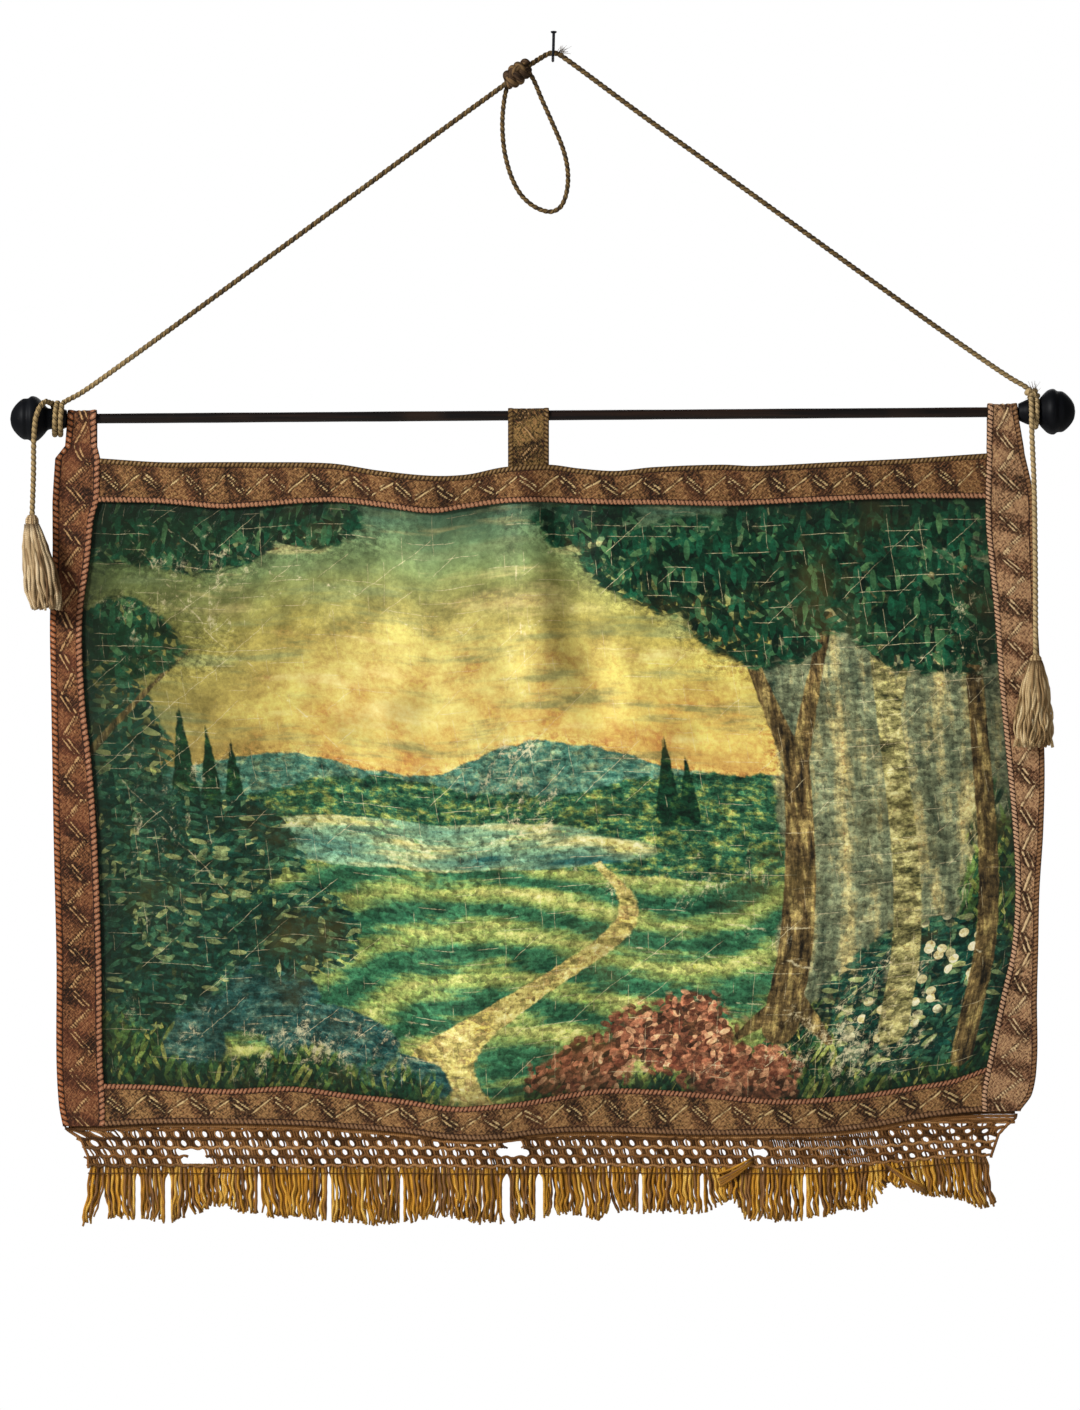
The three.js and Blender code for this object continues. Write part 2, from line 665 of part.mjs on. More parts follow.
// The net: staggered rows of diamond holes between the strip and the fringe, with its torn places.
function netGeometry() {
  const shape = netOutline();
  const { halfWidth, halfHeight, leftLean, rightLean, from, to } = NET_HOLE;
  let count = 0;
  for (let row = 0; row < NET.rows; row += 1) {
    const z = NET.bottom + NET.first + row * NET.rowHeight;
    for (let x = -362 + (row % 2) * 0.5 * NET.pitch; x < 344; x += NET.pitch) {
      count += 1;
      const torn = row < 3 && TEARS.some((tear) => x > tear.fromX - 3 && x < tear.toX + 3);
      const hidden = z + halfHeight > along(BOTTOM_STRIP, "x", "lower", x) - 2.4;
      if (torn || hidden) continue;
      const size = 0.9 + 0.14 * chance(count + 900);
      const hole = {
        x: x + (chance(count) - 0.5) * 0.9,
        z: z + (chance(count + 500) - 0.5) * 0.6,
        halfWidth: halfWidth * size,
        halfHeight: halfHeight * size,
        lean: mix(leftLean, rightLean, Math.max(0, (x - from) / (to - from))),
      };
      shape.holes.push(diamond(hole));
    }
  }
  for (const tear of TEARS) {
    const hole = new THREE.Path();
    tear.corners.forEach(([x, z], i) => hole[i ? "lineTo" : "moveTo"](x, z));
    shape.holes.push(hole);
  }
  shape.holes.push(diamond(NET_END_SLOT));
  const flat = new THREE.ExtrudeGeometry(shape, { depth: NET.thickness, bevelEnabled: false });
  flat.rotateX(Math.PI / 2);
  const at = flat.attributes.position;
  const back = NET.middle + NET.thickness / 2;
  for (let i = 0; i < at.count; i += 1) {
    at.setY(i, at.getY(i) + back + depthAt(at.getX(i), at.getZ(i)));
  }
  return flat;
}

// The fringe: a narrow strip, and three-sided locks that grow from it and stand a little apart below.
function fringeGeometry() {
  const [from, to] = [FRINGE[0].x, FRINGE[FRINGE.length - 1].x];
  const { top, bottom, thickness, behind, steps, overhang } = FRINGE_STRIP;
  const middle = (x) => depthAt(x, top) + behind;
  const columns = Array.from({ length: steps + 1 }, (_, i) => mix(from - overhang, to + overhang, i / steps));
  const strip = slab(
    [top, bottom].map((z) =>
      columns.map((x) => ({
        front: [x, middle(x) - thickness / 2, z],
        back: [x, middle(x) + thickness / 2, z],
      })),
    ),
  );
  const count = Math.floor((to - from) / LOCK_PITCH);
  const locks = Array.from({ length: count + 1 }, (_, i) => {
    const x = mix(from, to, i / count);
    const root = top - LOCK_ROOT_INSIDE;
    const tip = along(FRINGE, "x", "tip", x) + (chance(i + 40) - 0.5) * 3;
    const lean = along(FRINGE, "x", "lean", x) + (chance(i + 80) - 0.5) * 0.5;
    const forward = i % 2 ? 0.5 : -0.3;
    const rings = LOCK.map(({ at, sideways, wide, deep }) => ({
      middle: [x + sideways * lean, middle(x) + (at ? forward : 0), mix(root, tip, at)],
      wide,
      deep,
    }));
    return strand(rings, 3, -Math.PI / 2);
  });
  return joined([strip, ...locks]);
}

// A tassel: a tied head, and locks that leave it and spread to the skirt's rim.
function tasselGeometry({ head, skirt }) {
  const { x, y, z, height, radius } = head;
  const outline = TASSEL_HEAD.map(({ wide, down }) => new THREE.Vector2(wide * radius, z - down * height));
  const foot = outline[outline.length - 1].y;
  const profile = [new THREE.Vector2(0, z), ...outline, new THREE.Vector2(0, foot)];
  const knob = new THREE.LatheGeometry(profile.reverse(), 10);
  knob.rotateX(Math.PI / 2);
  knob.translate(x, y, 0);
  const { outer, inner, innerReach, width, uneven } = TASSEL_LOCKS;
  const start = radius * 0.62;
  const lock = (angle, reach, n) => {
    const tip = skirt.bottom + uneven * chance(n);
    const sections = TASSEL_LOCK.map(({ at, wide, deep }) => {
      const spread = Math.min(1, 1.5 * at);
      const sideways = Math.cos(angle) * reach * mix(start, skirt.halfWidth - width, spread);
      const forward = Math.sin(angle) * reach * mix(start, skirt.halfDepth - 0.8 * width, spread);
      const middle = [mix(x, skirt.x, at) + sideways, y + forward, mix(z - height - 2, tip, at)];
      return { middle, wide: wide * width, deep: deep * width };
    });
    return strand(sections, 3, angle);
  };
  const ring = (count, reach, turn, seed) =>
    Array.from({ length: count }, (_, i) => lock((2 * Math.PI * (i + turn)) / count, reach, i + seed));
  return joined([knob, ...ring(outer, 1, 0, 3), ...ring(inner, innerReach, 0.5, 23)]);
}

// A knot's lump: a ball drawn out along the cord, with the turns of the cord raised as slanting ridges.
function knotGeometry({ x, y, z, long, wide, deep, angle }, ridges) {
  const ball = new THREE.SphereGeometry(1, 18, 12);
  ball.rotateZ(Math.PI / 2);
  const at = ball.attributes.position;
  const p = new THREE.Vector3();
  for (let i = 0; i < at.count; i += 1) {
    p.fromBufferAttribute(at, i);
    const round = Math.hypot(p.y, p.z);
    const turn = Math.atan2(p.z, p.y);
    const wave = Math.cos(ridges * (p.x * KNOT_RIDGES.slant + turn));
    const raised = 1 + KNOT_RIDGES.height * wave * round;
    at.setXYZ(i, p.x * long, p.y * deep * raised, p.z * wide * raised);
  }
  ball.rotateY((-angle * Math.PI) / 180);
  ball.translate(x, y, z);
  return ball;
}

function finialGeometry() {
  const profile = FINIAL.map(({ along: a, radius }) => new THREE.Vector2(radius, a));
  const turned = new THREE.LatheGeometry(
    [new THREE.Vector2(0, 0), ...profile, new THREE.Vector2(0, FINIAL_LENGTH)],
    16,
  );
  turned.rotateZ(-Math.PI / 2);
  return turned;
}

function nailGeometry() {
  const { radius, behind, front, top, bend, leanX, leanY } = NAIL;
  const places = [
    [0, behind, 0],
    [0, 0, 0],
    [0, front + bend, 0],
    [0, front + 0.3 * bend, 0.3 * bend],
    [leanX / 3, front, bend],
    [(2 * leanX) / 3, front + leanY / 2, top / 2],
    [leanX, front + leanY, top],
  ];
  const extrudePath = new Route(places.map((p) => new THREE.Vector3(...p)), false, "centripetal");
  const steps = 2 * (places.length - 1);
  const shank = new THREE.ExtrudeGeometry(roundSection(radius), { steps, bevelEnabled: false, extrudePath });
  const head = new THREE.CylinderGeometry(NAIL_HEAD.radius, NAIL_HEAD.radius * 0.8, NAIL_HEAD.height, 12);
  head.rotateX(Math.PI / 2);
  head.translate(leanX, front + leanY, top);
  return joined([shank, head]);
}

// Materials and assembly

function cloth(color) {
  return new THREE.MeshStandardMaterial({ color, roughness: 0.85, metalness: 0 });
}

const FINISH = {
  print: cloth(0x8a9860),
  galloon: cloth(0x6e4a2c),
  net: cloth(0x6b5138),
  fringe: cloth(0x9a7228),
  cord: cloth(0x4a3a20),
  tassel: cloth(0xa88c62),
  rod: new THREE.MeshStandardMaterial({ color: 0x241a14, roughness: 0.4, metalness: 0 }),
  finial: new THREE.MeshStandardMaterial({ color: 0x0a0d14, roughness: 0.3, metalness: 0 }),
  nail: new THREE.MeshStandardMaterial({ color: 0x3a4048, roughness: 0.4, metalness: 1 }),
};

function named(name, geometry, material) {
  const mesh = new THREE.Mesh(geometry, material);
  mesh.name = name;
  return mesh;
}

// The rod and its finials, in a group that carries the rod's tilt.
function rodGroup() {
  const group = new THREE.Group();
  group.position.set(ROD_MIDDLE.x, ROD_MIDDLE.y, ROD_MIDDLE.z);
  group.rotation.y = (-ROD_TILT_DEGREES * Math.PI) / 180;
  const bar = new THREE.CylinderGeometry(ROD_RADIUS, ROD_RADIUS, ROD_LENGTH - 2 * GAP, 16);
  bar.rotateZ(Math.PI / 2);
  const left = named("finial_left", finialGeometry(), FINISH.finial);
  left.rotation.z = Math.PI;
  left.position.x = -ROD_LENGTH / 2;
  const right = named("finial_right", finialGeometry(), FINISH.finial);
  right.position.x = ROD_LENGTH / 2;
  group.add(named("rod", bar, FINISH.rod), left, right);
  return group;
}

// The cord's four visible lengths between its knots and tassels.
function cordGroup() {
  const group = new THREE.Group();
  const turns = neckTurns(NECK_TURNS).reverse();
  const left = [...CORD_LEFT_TAIL, ...turns, ...CORD_LEFT_RISE];
  group.add(
    named("cord_left", cordTube(left), FINISH.cord),
    named("cord_loop", cordTube(CORD_LOOP), FINISH.cord),
    named("cord_right", cordTube(CORD_RIGHT), FINISH.cord),
    named("cord_tail_right", cordTube(CORD_RIGHT_TAIL), FINISH.cord),
    named("knot_top", knotGeometry(KNOT, 3), FINISH.cord),
    named("knot_right", knotGeometry(HITCH, 2), FINISH.cord),
    named("cord_hitch", cordTube(neckTurns(HITCH_RING)), FINISH.cord),
    named("tassel_left", tasselGeometry(TASSELS.left), FINISH.tassel),
    named("tassel_right", tasselGeometry(TASSELS.right), FINISH.tassel),
  );
  return group;
}

function clothGroup() {
  const group = new THREE.Group();
  group.add(
    named("panel", panelGeometry(), FINISH.print),
    named("border_top", crossStripGeometry(0), FINISH.galloon),
    named("border_bottom", crossStripGeometry(ROWS.length - STRIP_LINES), FINISH.galloon),
    named("border_left", sideStripGeometry(0, LEFT_LOOP), FINISH.galloon),
    named("border_right", sideStripGeometry(COLUMNS.length - STRIP_LINES, RIGHT_LOOP), FINISH.galloon),
    named("tab_middle", middleLoopGeometry(), FINISH.galloon),
    named("net", netGeometry(), FINISH.net),
    named("fringe", fringeGeometry(), FINISH.fringe),
  );
  return group;
}

const tapestry = new THREE.Group();
tapestry.add(clothGroup(), rodGroup(), cordGroup(), named("nail", nailGeometry(), FINISH.nail));

export default tapestry;
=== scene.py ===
"""A printed wall tapestry with galloon borders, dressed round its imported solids.

All sizes are metres in the object's own frame: +Z up, the viewer looks along +Y,
and the origin is where the nail meets the wall, which is the plane y = 0.
"""

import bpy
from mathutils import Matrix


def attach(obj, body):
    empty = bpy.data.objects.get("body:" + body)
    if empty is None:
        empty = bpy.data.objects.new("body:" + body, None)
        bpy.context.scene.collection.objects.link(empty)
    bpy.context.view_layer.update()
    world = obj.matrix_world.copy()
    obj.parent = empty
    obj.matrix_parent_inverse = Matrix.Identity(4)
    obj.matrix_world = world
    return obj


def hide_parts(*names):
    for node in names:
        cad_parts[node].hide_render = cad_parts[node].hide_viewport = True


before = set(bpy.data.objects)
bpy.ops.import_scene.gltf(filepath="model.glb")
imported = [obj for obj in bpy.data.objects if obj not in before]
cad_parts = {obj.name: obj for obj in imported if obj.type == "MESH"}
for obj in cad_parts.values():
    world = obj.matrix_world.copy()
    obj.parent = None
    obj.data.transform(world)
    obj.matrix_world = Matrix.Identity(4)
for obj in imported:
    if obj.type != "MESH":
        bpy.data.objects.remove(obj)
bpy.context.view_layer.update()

import logging
import math
from collections.abc import Callable
from dataclasses import dataclass, field
from enum import Enum

import bpy
import numpy as np
from mathutils import Vector

LOG = logging.getLogger("tapestry")
Array = np.ndarray
Piece = bpy.types.Object
Material = bpy.types.Material
BODY = "root"

# The photograph's framing: its size in pixels, the size of one on the cloth, and the nail's place in it.
PHOTO = {"wide": 1080, "high": 1410, "pixel": 0.0008, "nail_x": 553, "nail_y": 56}

# What the pieces share
HANG_DEPTH = -0.0188
LAYER_GAP = 0.00045
PANEL_THICKNESS = 0.0012
GALLOON_BACK = -PANEL_THICKNESS / 2 - LAYER_GAP
ROD = {"x": -0.0082, "y": -0.0188, "z": -0.2875, "radius": 0.004, "length": 0.7612,
       "tilt": math.radians(0.41)}
CORD_DIAMETER = 0.0046

def mm(*rows: tuple[float, ...]) -> Array:
    """A table that is given in millimetres, in metres."""
    return np.array(rows) / 1000


# The strips' edges: place along the strip, first edge, second edge.
TOP_STRIP = mm(
    (-362, -322, -357), (-314, -325, -358), (-268, -325, -362), (-242, -325, -361), (-178, -326, -357),
    (-138, -332, -361), (-98, -336, -366), (-69, -335, -362), (-39, -329, -358), (-3, -327, -357),
    (21, -330, -358), (50, -332, -359), (80, -329, -359), (134, -327, -360), (162, -328, -359),
    (224, -325, -356), (286, -322, -354), (346, -318, -354),
)
BOTTOM_STRIP = mm(
    (-358, -822, -856), (-318, -823, -854), (-263, -826, -854), (-208, -824, -855), (-162, -830, -858),
    (-122, -834, -861), (-81, -840, -866), (-44, -838, -866), (-17, -835, -863), (11, -830, -861),
    (48, -826, -861), (118, -829, -863), (176, -834, -862), (214, -833, -861), (254, -829, -857),
    (292, -823, -850), (321, -818, -846), (346, -809, -844),
)
LEFT_STRIP = mm(
    (-855, -392, -358), (-839, -395, -358), (-803, -397, -360), (-723, -397, -361), (-635, -399, -364),
    (-571, -400, -368), (-515, -401, -374), (-451, -402, -376), (-403, -400, -370), (-371, -400, -367),
    (-355, -400, -363), (-322, -398, -362),
)
RIGHT_STRIP = mm(
    (-843, 374, 343), (-830, 383, 343), (-803, 387, 348), (-755, 387, 358), (-715, 388, 367),
    (-667, 389, 370), (-619, 392, 368), (-563, 393, 363), (-499, 390, 357), (-443, 387, 353),
    (-382, 385, 347), (-351, 384, 346), (-318, 377, 347),
)

# The folds: a line from x, z to x, z, how far its slope reaches, and how far its crest stands out.
FOLDS = mm(
    (-18, -362, -10, -480, 14, 8), (2, -362, 34, -505, 14, -8), (-108, -344, -92, -440, 34, 5),
    (165, -366, 285, -420, 18, -5), (344, -390, 360, -730, 13, -4.5), (-138, -700, -80, -805, 18, -7),
    (-60, -770, -62, -866, 28, 8), (46, -740, 42, -866, 30, -4.5), (160, -770, 188, -864, 34, 5),
    (-376, -410, -374, -560, 26, 4), (150, -678, 330, -700, 15, -3), (120, -722, 330, -748, 15, 3),
    (-300, -560, -240, -800, 34, 4), (300, -500, 270, -620, 36, 4.5), (-160, -470, -190, -640, 32, -4),
)


# Numbers

def along(table: Array, column: int, at: Array) -> Array:
    """Reads a smooth curve through a table's rows.

    Between two rows the value is the cubic that meets both with the slope of the
    line through the rows on either side. Past the ends it keeps the end's value.

    Args:
        table: Rows in rising order of their first column.
        column: The column that is read.
        at: The places to read it at.

    Returns:
        The values, in the shape of ``at``.
    """
    x, y = table[:, 0], table[:, column]
    slope = np.empty_like(y)
    slope[1:-1] = (y[2:] - y[:-2]) / (x[2:] - x[:-2])
    slope[0] = (y[1] - y[0]) / (x[1] - x[0])
    slope[-1] = (y[-1] - y[-2]) / (x[-1] - x[-2])
    place = np.clip(at, x[0], x[-1])
    i = np.clip(np.searchsorted(x, place, side="right") - 1, 0, len(x) - 2)
    width = x[i + 1] - x[i]
    t = (place - x[i]) / width
    bend = t * (1 - t) * width * ((1 - t) * slope[i] - t * slope[i + 1])
    return mix(y[i], y[i + 1], t * t * (3 - 2 * t)) + bend


def mix(a: Array, b: Array, t: Array) -> Array:
    """The value a share t of the way from a to b."""
    return a + (b - a) * t


def ease(value: Array, low: float, high: float) -> Array:
    """Rises smoothly from 0 at low to 1 at high."""
    t = np.clip((value - low) / (high - low), 0, 1)
    return t * t * (3 - 2 * t)


def ripple(x: Array, z: Array, size: float, seed: int, octaves: int = 3) -> Array:
    """A smooth random field of about -1 to 1, as a sum of slanted sine waves.

    Each wave is sin(2 pi (x cos a + z sin a) / length + phase) at a seeded angle
    a, length and phase, and each octave has half the length and half the height.

    Args:
        x: Places across.
        z: Places up.
        size: The longest wave's length in metres.
        seed: Gives the angles and phases.
        octaves: How many halvings are added.

    Returns:
        The field, in the shape of x and z together.
    """
    rng = np.random.default_rng(seed)
    total = np.zeros(np.broadcast(x, z).shape)
    for octave in range(octaves):
        for _ in range(5):
            angle, phase, stretch = rng.random(3)
            turn = math.pi * angle
            length = size * (0.7 + 0.6 * stretch) / 2**octave
            wave = (x * math.cos(turn) + z * math.sin(turn)) / length + phase
            total += np.sin(2 * math.pi * wave) * 0.5**octave / 4
    return total


def unit(vectors: Array) -> Array:
    """The vectors at length 1."""
    return vectors / np.maximum(np.linalg.norm(vectors, axis=-1, keepdims=True), 1e-12)


def full_turn(count: int) -> Array:
    """Even angles once round, as one row."""
    return np.linspace(0, 2 * math.pi, count, endpoint=False)[None]


# Mesh making

@dataclass
class Skin:
    """A grid of points that becomes faces of a mesh.

    Attributes:
        points: Rows by columns by x, y, z.
        uv: One pair for each row and column, with one more column where it is round.
        round_columns: The last column joins the first.
        capped: The first and the last row are closed with a fan of triangles.
        layers: Point attributes by name, each rows by columns.
    """

    points: Array
    uv: Array
    round_columns: bool = False
    capped: bool = False
    layers: dict[str, Array] = field(default_factory=dict)


@dataclass
class Faces:
    """Triangles and quads under way to a mesh: corner lists by size, and their UVs."""

    quads: list[Array] = field(default_factory=list)
    quad_uv: list[Array] = field(default_factory=list)
    triangles: list[Array] = field(default_factory=list)
    triangle_uv: list[Array] = field(default_factory=list)


def skin_faces(skin: Skin, start: int, faces: Faces) -> Array:
    """Adds a skin's faces, and gives its points, with a middle for each cap.

    A face joins row i, column j with row i + 1 and column j + 1. A round skin's
    last column joins the first again, and a cap is a fan about its row's middle.

    Args:
        skin: The grid.
        start: The number of the skin's first point in the mesh.
        faces: What the faces are added to.

    Returns:
        The points as one list.
    """
    rows, columns = skin.points.shape[:2]
    last = columns if skin.round_columns else columns - 1
    i, j = np.meshgrid(np.arange(rows - 1), np.arange(last), indexing="ij")
    after = (j + 1) % columns
    number = lambda a, b: start + a * columns + b
    quads = np.stack([number(i, j), number(i + 1, j), number(i + 1, after), number(i, after)], -1)
    uv = np.stack([skin.uv[i, j], skin.uv[i + 1, j], skin.uv[i + 1, j + 1], skin.uv[i, j + 1]], -2)
    faces.quads.append(quads.reshape(-1, 4))
    faces.quad_uv.append(uv.reshape(-1, 4, 2))
    points = skin.points.reshape(-1, 3)
    if not skin.capped:
        return points
    j = np.arange(last)
    after = (j + 1) % columns
    for row, middle in ((0, start + len(points)), (rows - 1, start + len(points) + 1)):
        one, other = (j, after) if row == 0 else (after, j)
        fan = np.stack([np.full(last, middle), number(row, one), number(row, other)], -1)
        faces.triangles.append(fan)
        faces.triangle_uv.append(np.repeat(skin.uv[row, j][:, None], 3, 1))
    return np.concatenate([points, skin.points[[0, -1]].mean(1)])


def put(name: str, data: bpy.types.ID) -> Piece:
    """Makes an object of data and puts it in the scene."""
    made = bpy.data.objects.new(name, data)
    bpy.context.scene.collection.objects.link(made)
    return made


def make_mesh(name: str, skins: list[Skin], extra: Faces | None = None) -> Piece:
    """Makes one object from skins and, where given, more faces between their points.

    Args:
        name: The object's name.
        skins: The grids, in the order that their points are numbered.
        extra: Faces that already name points by number.

    Returns:
        The object, at the origin and shaded smooth.
    """
    faces = extra or Faces()
    points, layers, start = [], {}, 0
    for skin in skins:
        added = skin_faces(skin, start, faces)
        points.append(added)
        for key, values in skin.layers.items():
            flat = values.reshape(-1)
            spare = np.full(len(added) - len(flat), flat.mean())
            layers.setdefault(key, []).append(np.concatenate([flat, spare]))
        start += len(added)
    places = np.concatenate(points).astype(np.float32)
    groups = [(4, faces.quads, faces.quad_uv), (3, faces.triangles, faces.triangle_uv)]
    corners = [np.concatenate(lists) for _, lists, _ in groups if lists]
    uvs = [np.concatenate(lists).reshape(-1, 2) for _, _, lists in groups if lists]
    sizes = np.concatenate([np.full(len(c), c.shape[1]) for c in corners])
    mesh = bpy.data.meshes.new(name)
    mesh.vertices.add(len(places))
    mesh.vertices.foreach_set("co", places.ravel())
    mesh.loops.add(int(sizes.sum()))
    mesh.loops.foreach_set("vertex_index", np.concatenate([c.ravel() for c in corners]).astype(np.int32))
    mesh.polygons.add(len(sizes))
    mesh.polygons.foreach_set("loop_start", (np.cumsum(sizes) - sizes).astype(np.int32))
    mesh.update(calc_edges=True)
    layer = mesh.uv_layers.new(name="cut")
    layer.data.foreach_set("uv", np.concatenate(uvs).astype(np.float32).ravel())
    for key, parts in layers.items():
        attribute = mesh.attributes.new(key, "FLOAT", "POINT")
        attribute.data.foreach_set("value", np.concatenate(parts).astype(np.float32))
    mesh.validate()
    mesh.shade_smooth()
    return put(name, mesh)


def ring_uv(rows: Array, columns: int, girth: float) -> Array:
    """UVs for a round skin: its length down the rows, and its girth across them."""
    across = np.linspace(0, girth, columns + 1)
    return np.stack(np.broadcast_arrays(rows[:, None], across[None]), -1)


def path_length(path: Array) -> Array:
    """The length along a path up to each of its points."""
    steps = np.linalg.norm(np.diff(path, axis=-2), axis=-1)
    zero = np.zeros(steps.shape[:-1] + (1,))
    return np.concatenate([zero, np.cumsum(steps, -1)], -1)


def route(points: Array, step: float) -> Array:
    """A smooth centripetal curve through listed points, in even steps.

    Between two points the curve is the cubic of Catmull and Rom with knots at the
    square roots of the distances, sampled finely and then read at even lengths.

    Args:
        points: The listed points.
        step: The distance between the points that are returned.

    Returns:
        The points of the curve.
    """
    p = np.vstack([2 * points[0] - points[1], points, 2 * points[-1] - points[-2]])
    knot = np.concatenate([[0], np.cumsum(np.sqrt(np.linalg.norm(np.diff(p, axis=0), axis=1)))])
    t0, t1, t2, t3 = (knot[k:len(knot) - 3 + k, None, None] for k in range(4))
    a, b, c, d = (p[k:len(p) - 3 + k, None] for k in range(4))
    t = t1 + (t2 - t1) * np.linspace(0, 1, 24, endpoint=False)[None, :, None]
    ab = mix(a, b, (t - t0) / (t1 - t0))
    bc = mix(b, c, (t - t1) / (t2 - t1))
    cd = mix(c, d, (t - t2) / (t3 - t2))
    abc = mix(ab, bc, (t - t0) / (t2 - t0))
    bcd = mix(bc, cd, (t - t1) / (t3 - t1))
    fine = np.vstack([mix(abc, bcd, (t - t1) / (t2 - t1)).reshape(-1, 3), points[-1:]])
    length = path_length(fine)
    at = np.linspace(0, length[-1], max(int(length[-1] / step), 4) + 1)
    return np.stack([np.interp(at, length, fine[:, k]) for k in range(3)], -1)


def carried_frame(path: Array) -> tuple[Array, Array]:
    """Two directions square to a path at each point, turned as little as possible.

    From one point to the next, the first direction loses its share along the new
    tangent and is brought back to length 1.

    Args:
        path: The points of one path.

    Returns:
        The first and the second direction at each point.
    """
    tangent = unit(np.gradient(path, axis=0))
    first = np.empty_like(path)
    guess = np.cross(tangent[0], (0.3, 0.2, 0.93))
    for i, direction in enumerate(tangent):
        guess = unit(guess - direction * np.dot(guess, direction))
        first[i] = guess
    return first, np.cross(first, tangent)


def plied_tube(path: Array, diameter: float, twist: float, plies: int = 2, sides: int = 16) -> Skin:
    """A twisted cord along a path, as one round skin.

    The section's radius is d/2 (1 - 0.26 (1 - |cos(plies angle / 2)|)^0.8), so each
    ply is a lobe, and the section turns once for each twist's length of the path.

    Args:
        path: The centreline.
        diameter: The cord's full diameter.
        twist: The length in which a ply goes round once.
        plies: How many plies there are.
        sides: Points round the section.

    Returns:
        The skin, with its length and girth as UVs.
    """
    length = path_length(path)
    first, second = carried_frame(path)
    angle = full_turn(sides)
    lobe = 1 - np.abs(np.cos(plies * angle / 2))
    radius = diameter / 2 * (1 - 0.26 * lobe**0.8)
    turned = angle + 2 * math.pi * length[:, None] / twist
    offset = first[:, None] * np.cos(turned)[..., None] + second[:, None] * np.sin(turned)[..., None]
    points = path[:, None] + offset * radius[..., None]
    return Skin(points, ring_uv(length, sides, 1.0), round_columns=True, capped=True)


def yarns(paths: Array, radius: Array | float, sides: int, twist: float, seed: int) -> list[Skin]:
    """Many thin yarns at once, each a tapering tube.

    A section's directions are the wall's normal made square to the yarn, and the
    cross product of the two. The radius swells and shrinks as the plies pass.

    Args:
        paths: Yarns by steps by x, y, z.
        radius: Yarns by steps, or one for all.
        sides: Points round a section.
        twist: The length of one turn of the plies.
        seed: Gives each yarn its own shade and turn.

    Returns:
        One skin for each yarn.
    """
    rng = np.random.default_rng(seed)
    count = len(paths)
    radius = np.broadcast_to(radius, paths.shape[:2])
    tangent = unit(np.gradient(paths, axis=1))
    outward = np.array((0.0, -1.0, 0.0))
    first = unit(outward - tangent * (tangent @ outward)[..., None])
    second = np.cross(first, tangent)
    length = path_length(paths)
    start = rng.random(count)[:, None, None] * 2 * math.pi
    angle = full_turn(sides)[None]
    swell = 1 + 0.12 * np.cos(2 * angle - 4 * math.pi * length[..., None] / twist + start)
    cosine, sine = np.cos(angle)[..., None], np.sin(angle)[..., None]
    ring = first[:, :, None] * cosine + second[:, :, None] * sine
    points = paths[:, :, None] + ring * (radius[..., None] * swell)[..., None]
    shade = rng.random(count)
    skins = []
    for k in range(count):
        tone = np.full(points[k].shape[:2], shade[k])
        reach = np.broadcast_to((length[k] / length[k, -1])[:, None], tone.shape)
        uv = ring_uv(length[k] + k * 0.37, sides, 1.0)
        skins.append(Skin(points[k], uv, True, True, {"tone": tone, "reach": reach.copy()}))
    return skins


def turned_skin(profile: Array, sides: int) -> Skin:
    """A turned shape about the X axis from rows of (along, radius)."""
    angle = full_turn(sides)
    x = np.broadcast_to(profile[:, :1], (len(profile), sides))
    points = np.stack([x, -np.cos(angle) * profile[:, 1:], np.sin(angle) * profile[:, 1:]], -1)
    length = path_length(np.column_stack([profile, np.zeros(len(profile))]))
    return Skin(points, ring_uv(length, sides, 1.0), round_columns=True, capped=True)


# Shader making

class Signal:
    """A shader socket that Python's operators work on."""

    def __init__(self, shader: "Shader", socket: bpy.types.NodeSocket) -> None:
        """Keeps the socket and the shader that it belongs to."""
        self.shader = shader
        self.socket = socket

    def _math(self, operation: str, *values: "Signal | float") -> "Signal":
        """Adds a Math node on values."""
        return self.shader.wire("Math", {"operation": operation}, dict(enumerate(values)))

    def __add__(self, other: "Signal | float") -> "Signal":
        """self + other."""
        return self._math("ADD", self, other)

    __radd__ = __add__

    def __mul__(self, other: "Signal | float") -> "Signal":
        """self * other."""
        return self._math("MULTIPLY", self, other)

    __rmul__ = __mul__

    def __sub__(self, other: "Signal | float") -> "Signal":
        """self - other."""
        return self._math("SUBTRACT", self, other)

    def __rsub__(self, other: "Signal | float") -> "Signal":
        """other - self."""
        return self._math("SUBTRACT", other, self)

    def __abs__(self) -> "Signal":
        """The size of self, without its sign."""
        return self._math("ABSOLUTE", self)

    def __mod__(self, other: float) -> "Signal":
        """self past the last whole multiple of other, never below 0."""
        return self._math("FLOORED_MODULO", self, other)

    def rise(self, low: float, high: float) -> "Signal":
        """Goes smoothly from 0 at low to 1 at high, or down where high is below low."""
        ends = {"Value": self, "From Min": low, "From Max": high}
        return self.shader.wire("MapRange", {"interpolation_type": "SMOOTHSTEP"}, ends)

    def wave(self, length: float) -> "Signal":
        """The sine of self, once round for each length, brought to 0 to 1."""
        return self._math("SINE", self * (2 * math.pi / length)) * 0.5 + 0.5


Colour = tuple[float, float, float]


def ink(code: str) -> Colour:
    """A colour as the eye sees it, in hexadecimal, in the linear light that shaders use."""
    parts = (c / 255 for c in bytes.fromhex(code))
    return tuple(c / 12.92 if c <= 0.04045 else ((c + 0.055) / 1.055) ** 2.4 for c in parts)


def stops(text: str) -> list[tuple[float, Colour]]:
    """A ramp's stops from text such as "0:1a2b3c 100:fffefd": places in percent, and colours."""
    return [(int(at) / 100, ink(code)) for at, code in (word.split(":") for word in text.split())]


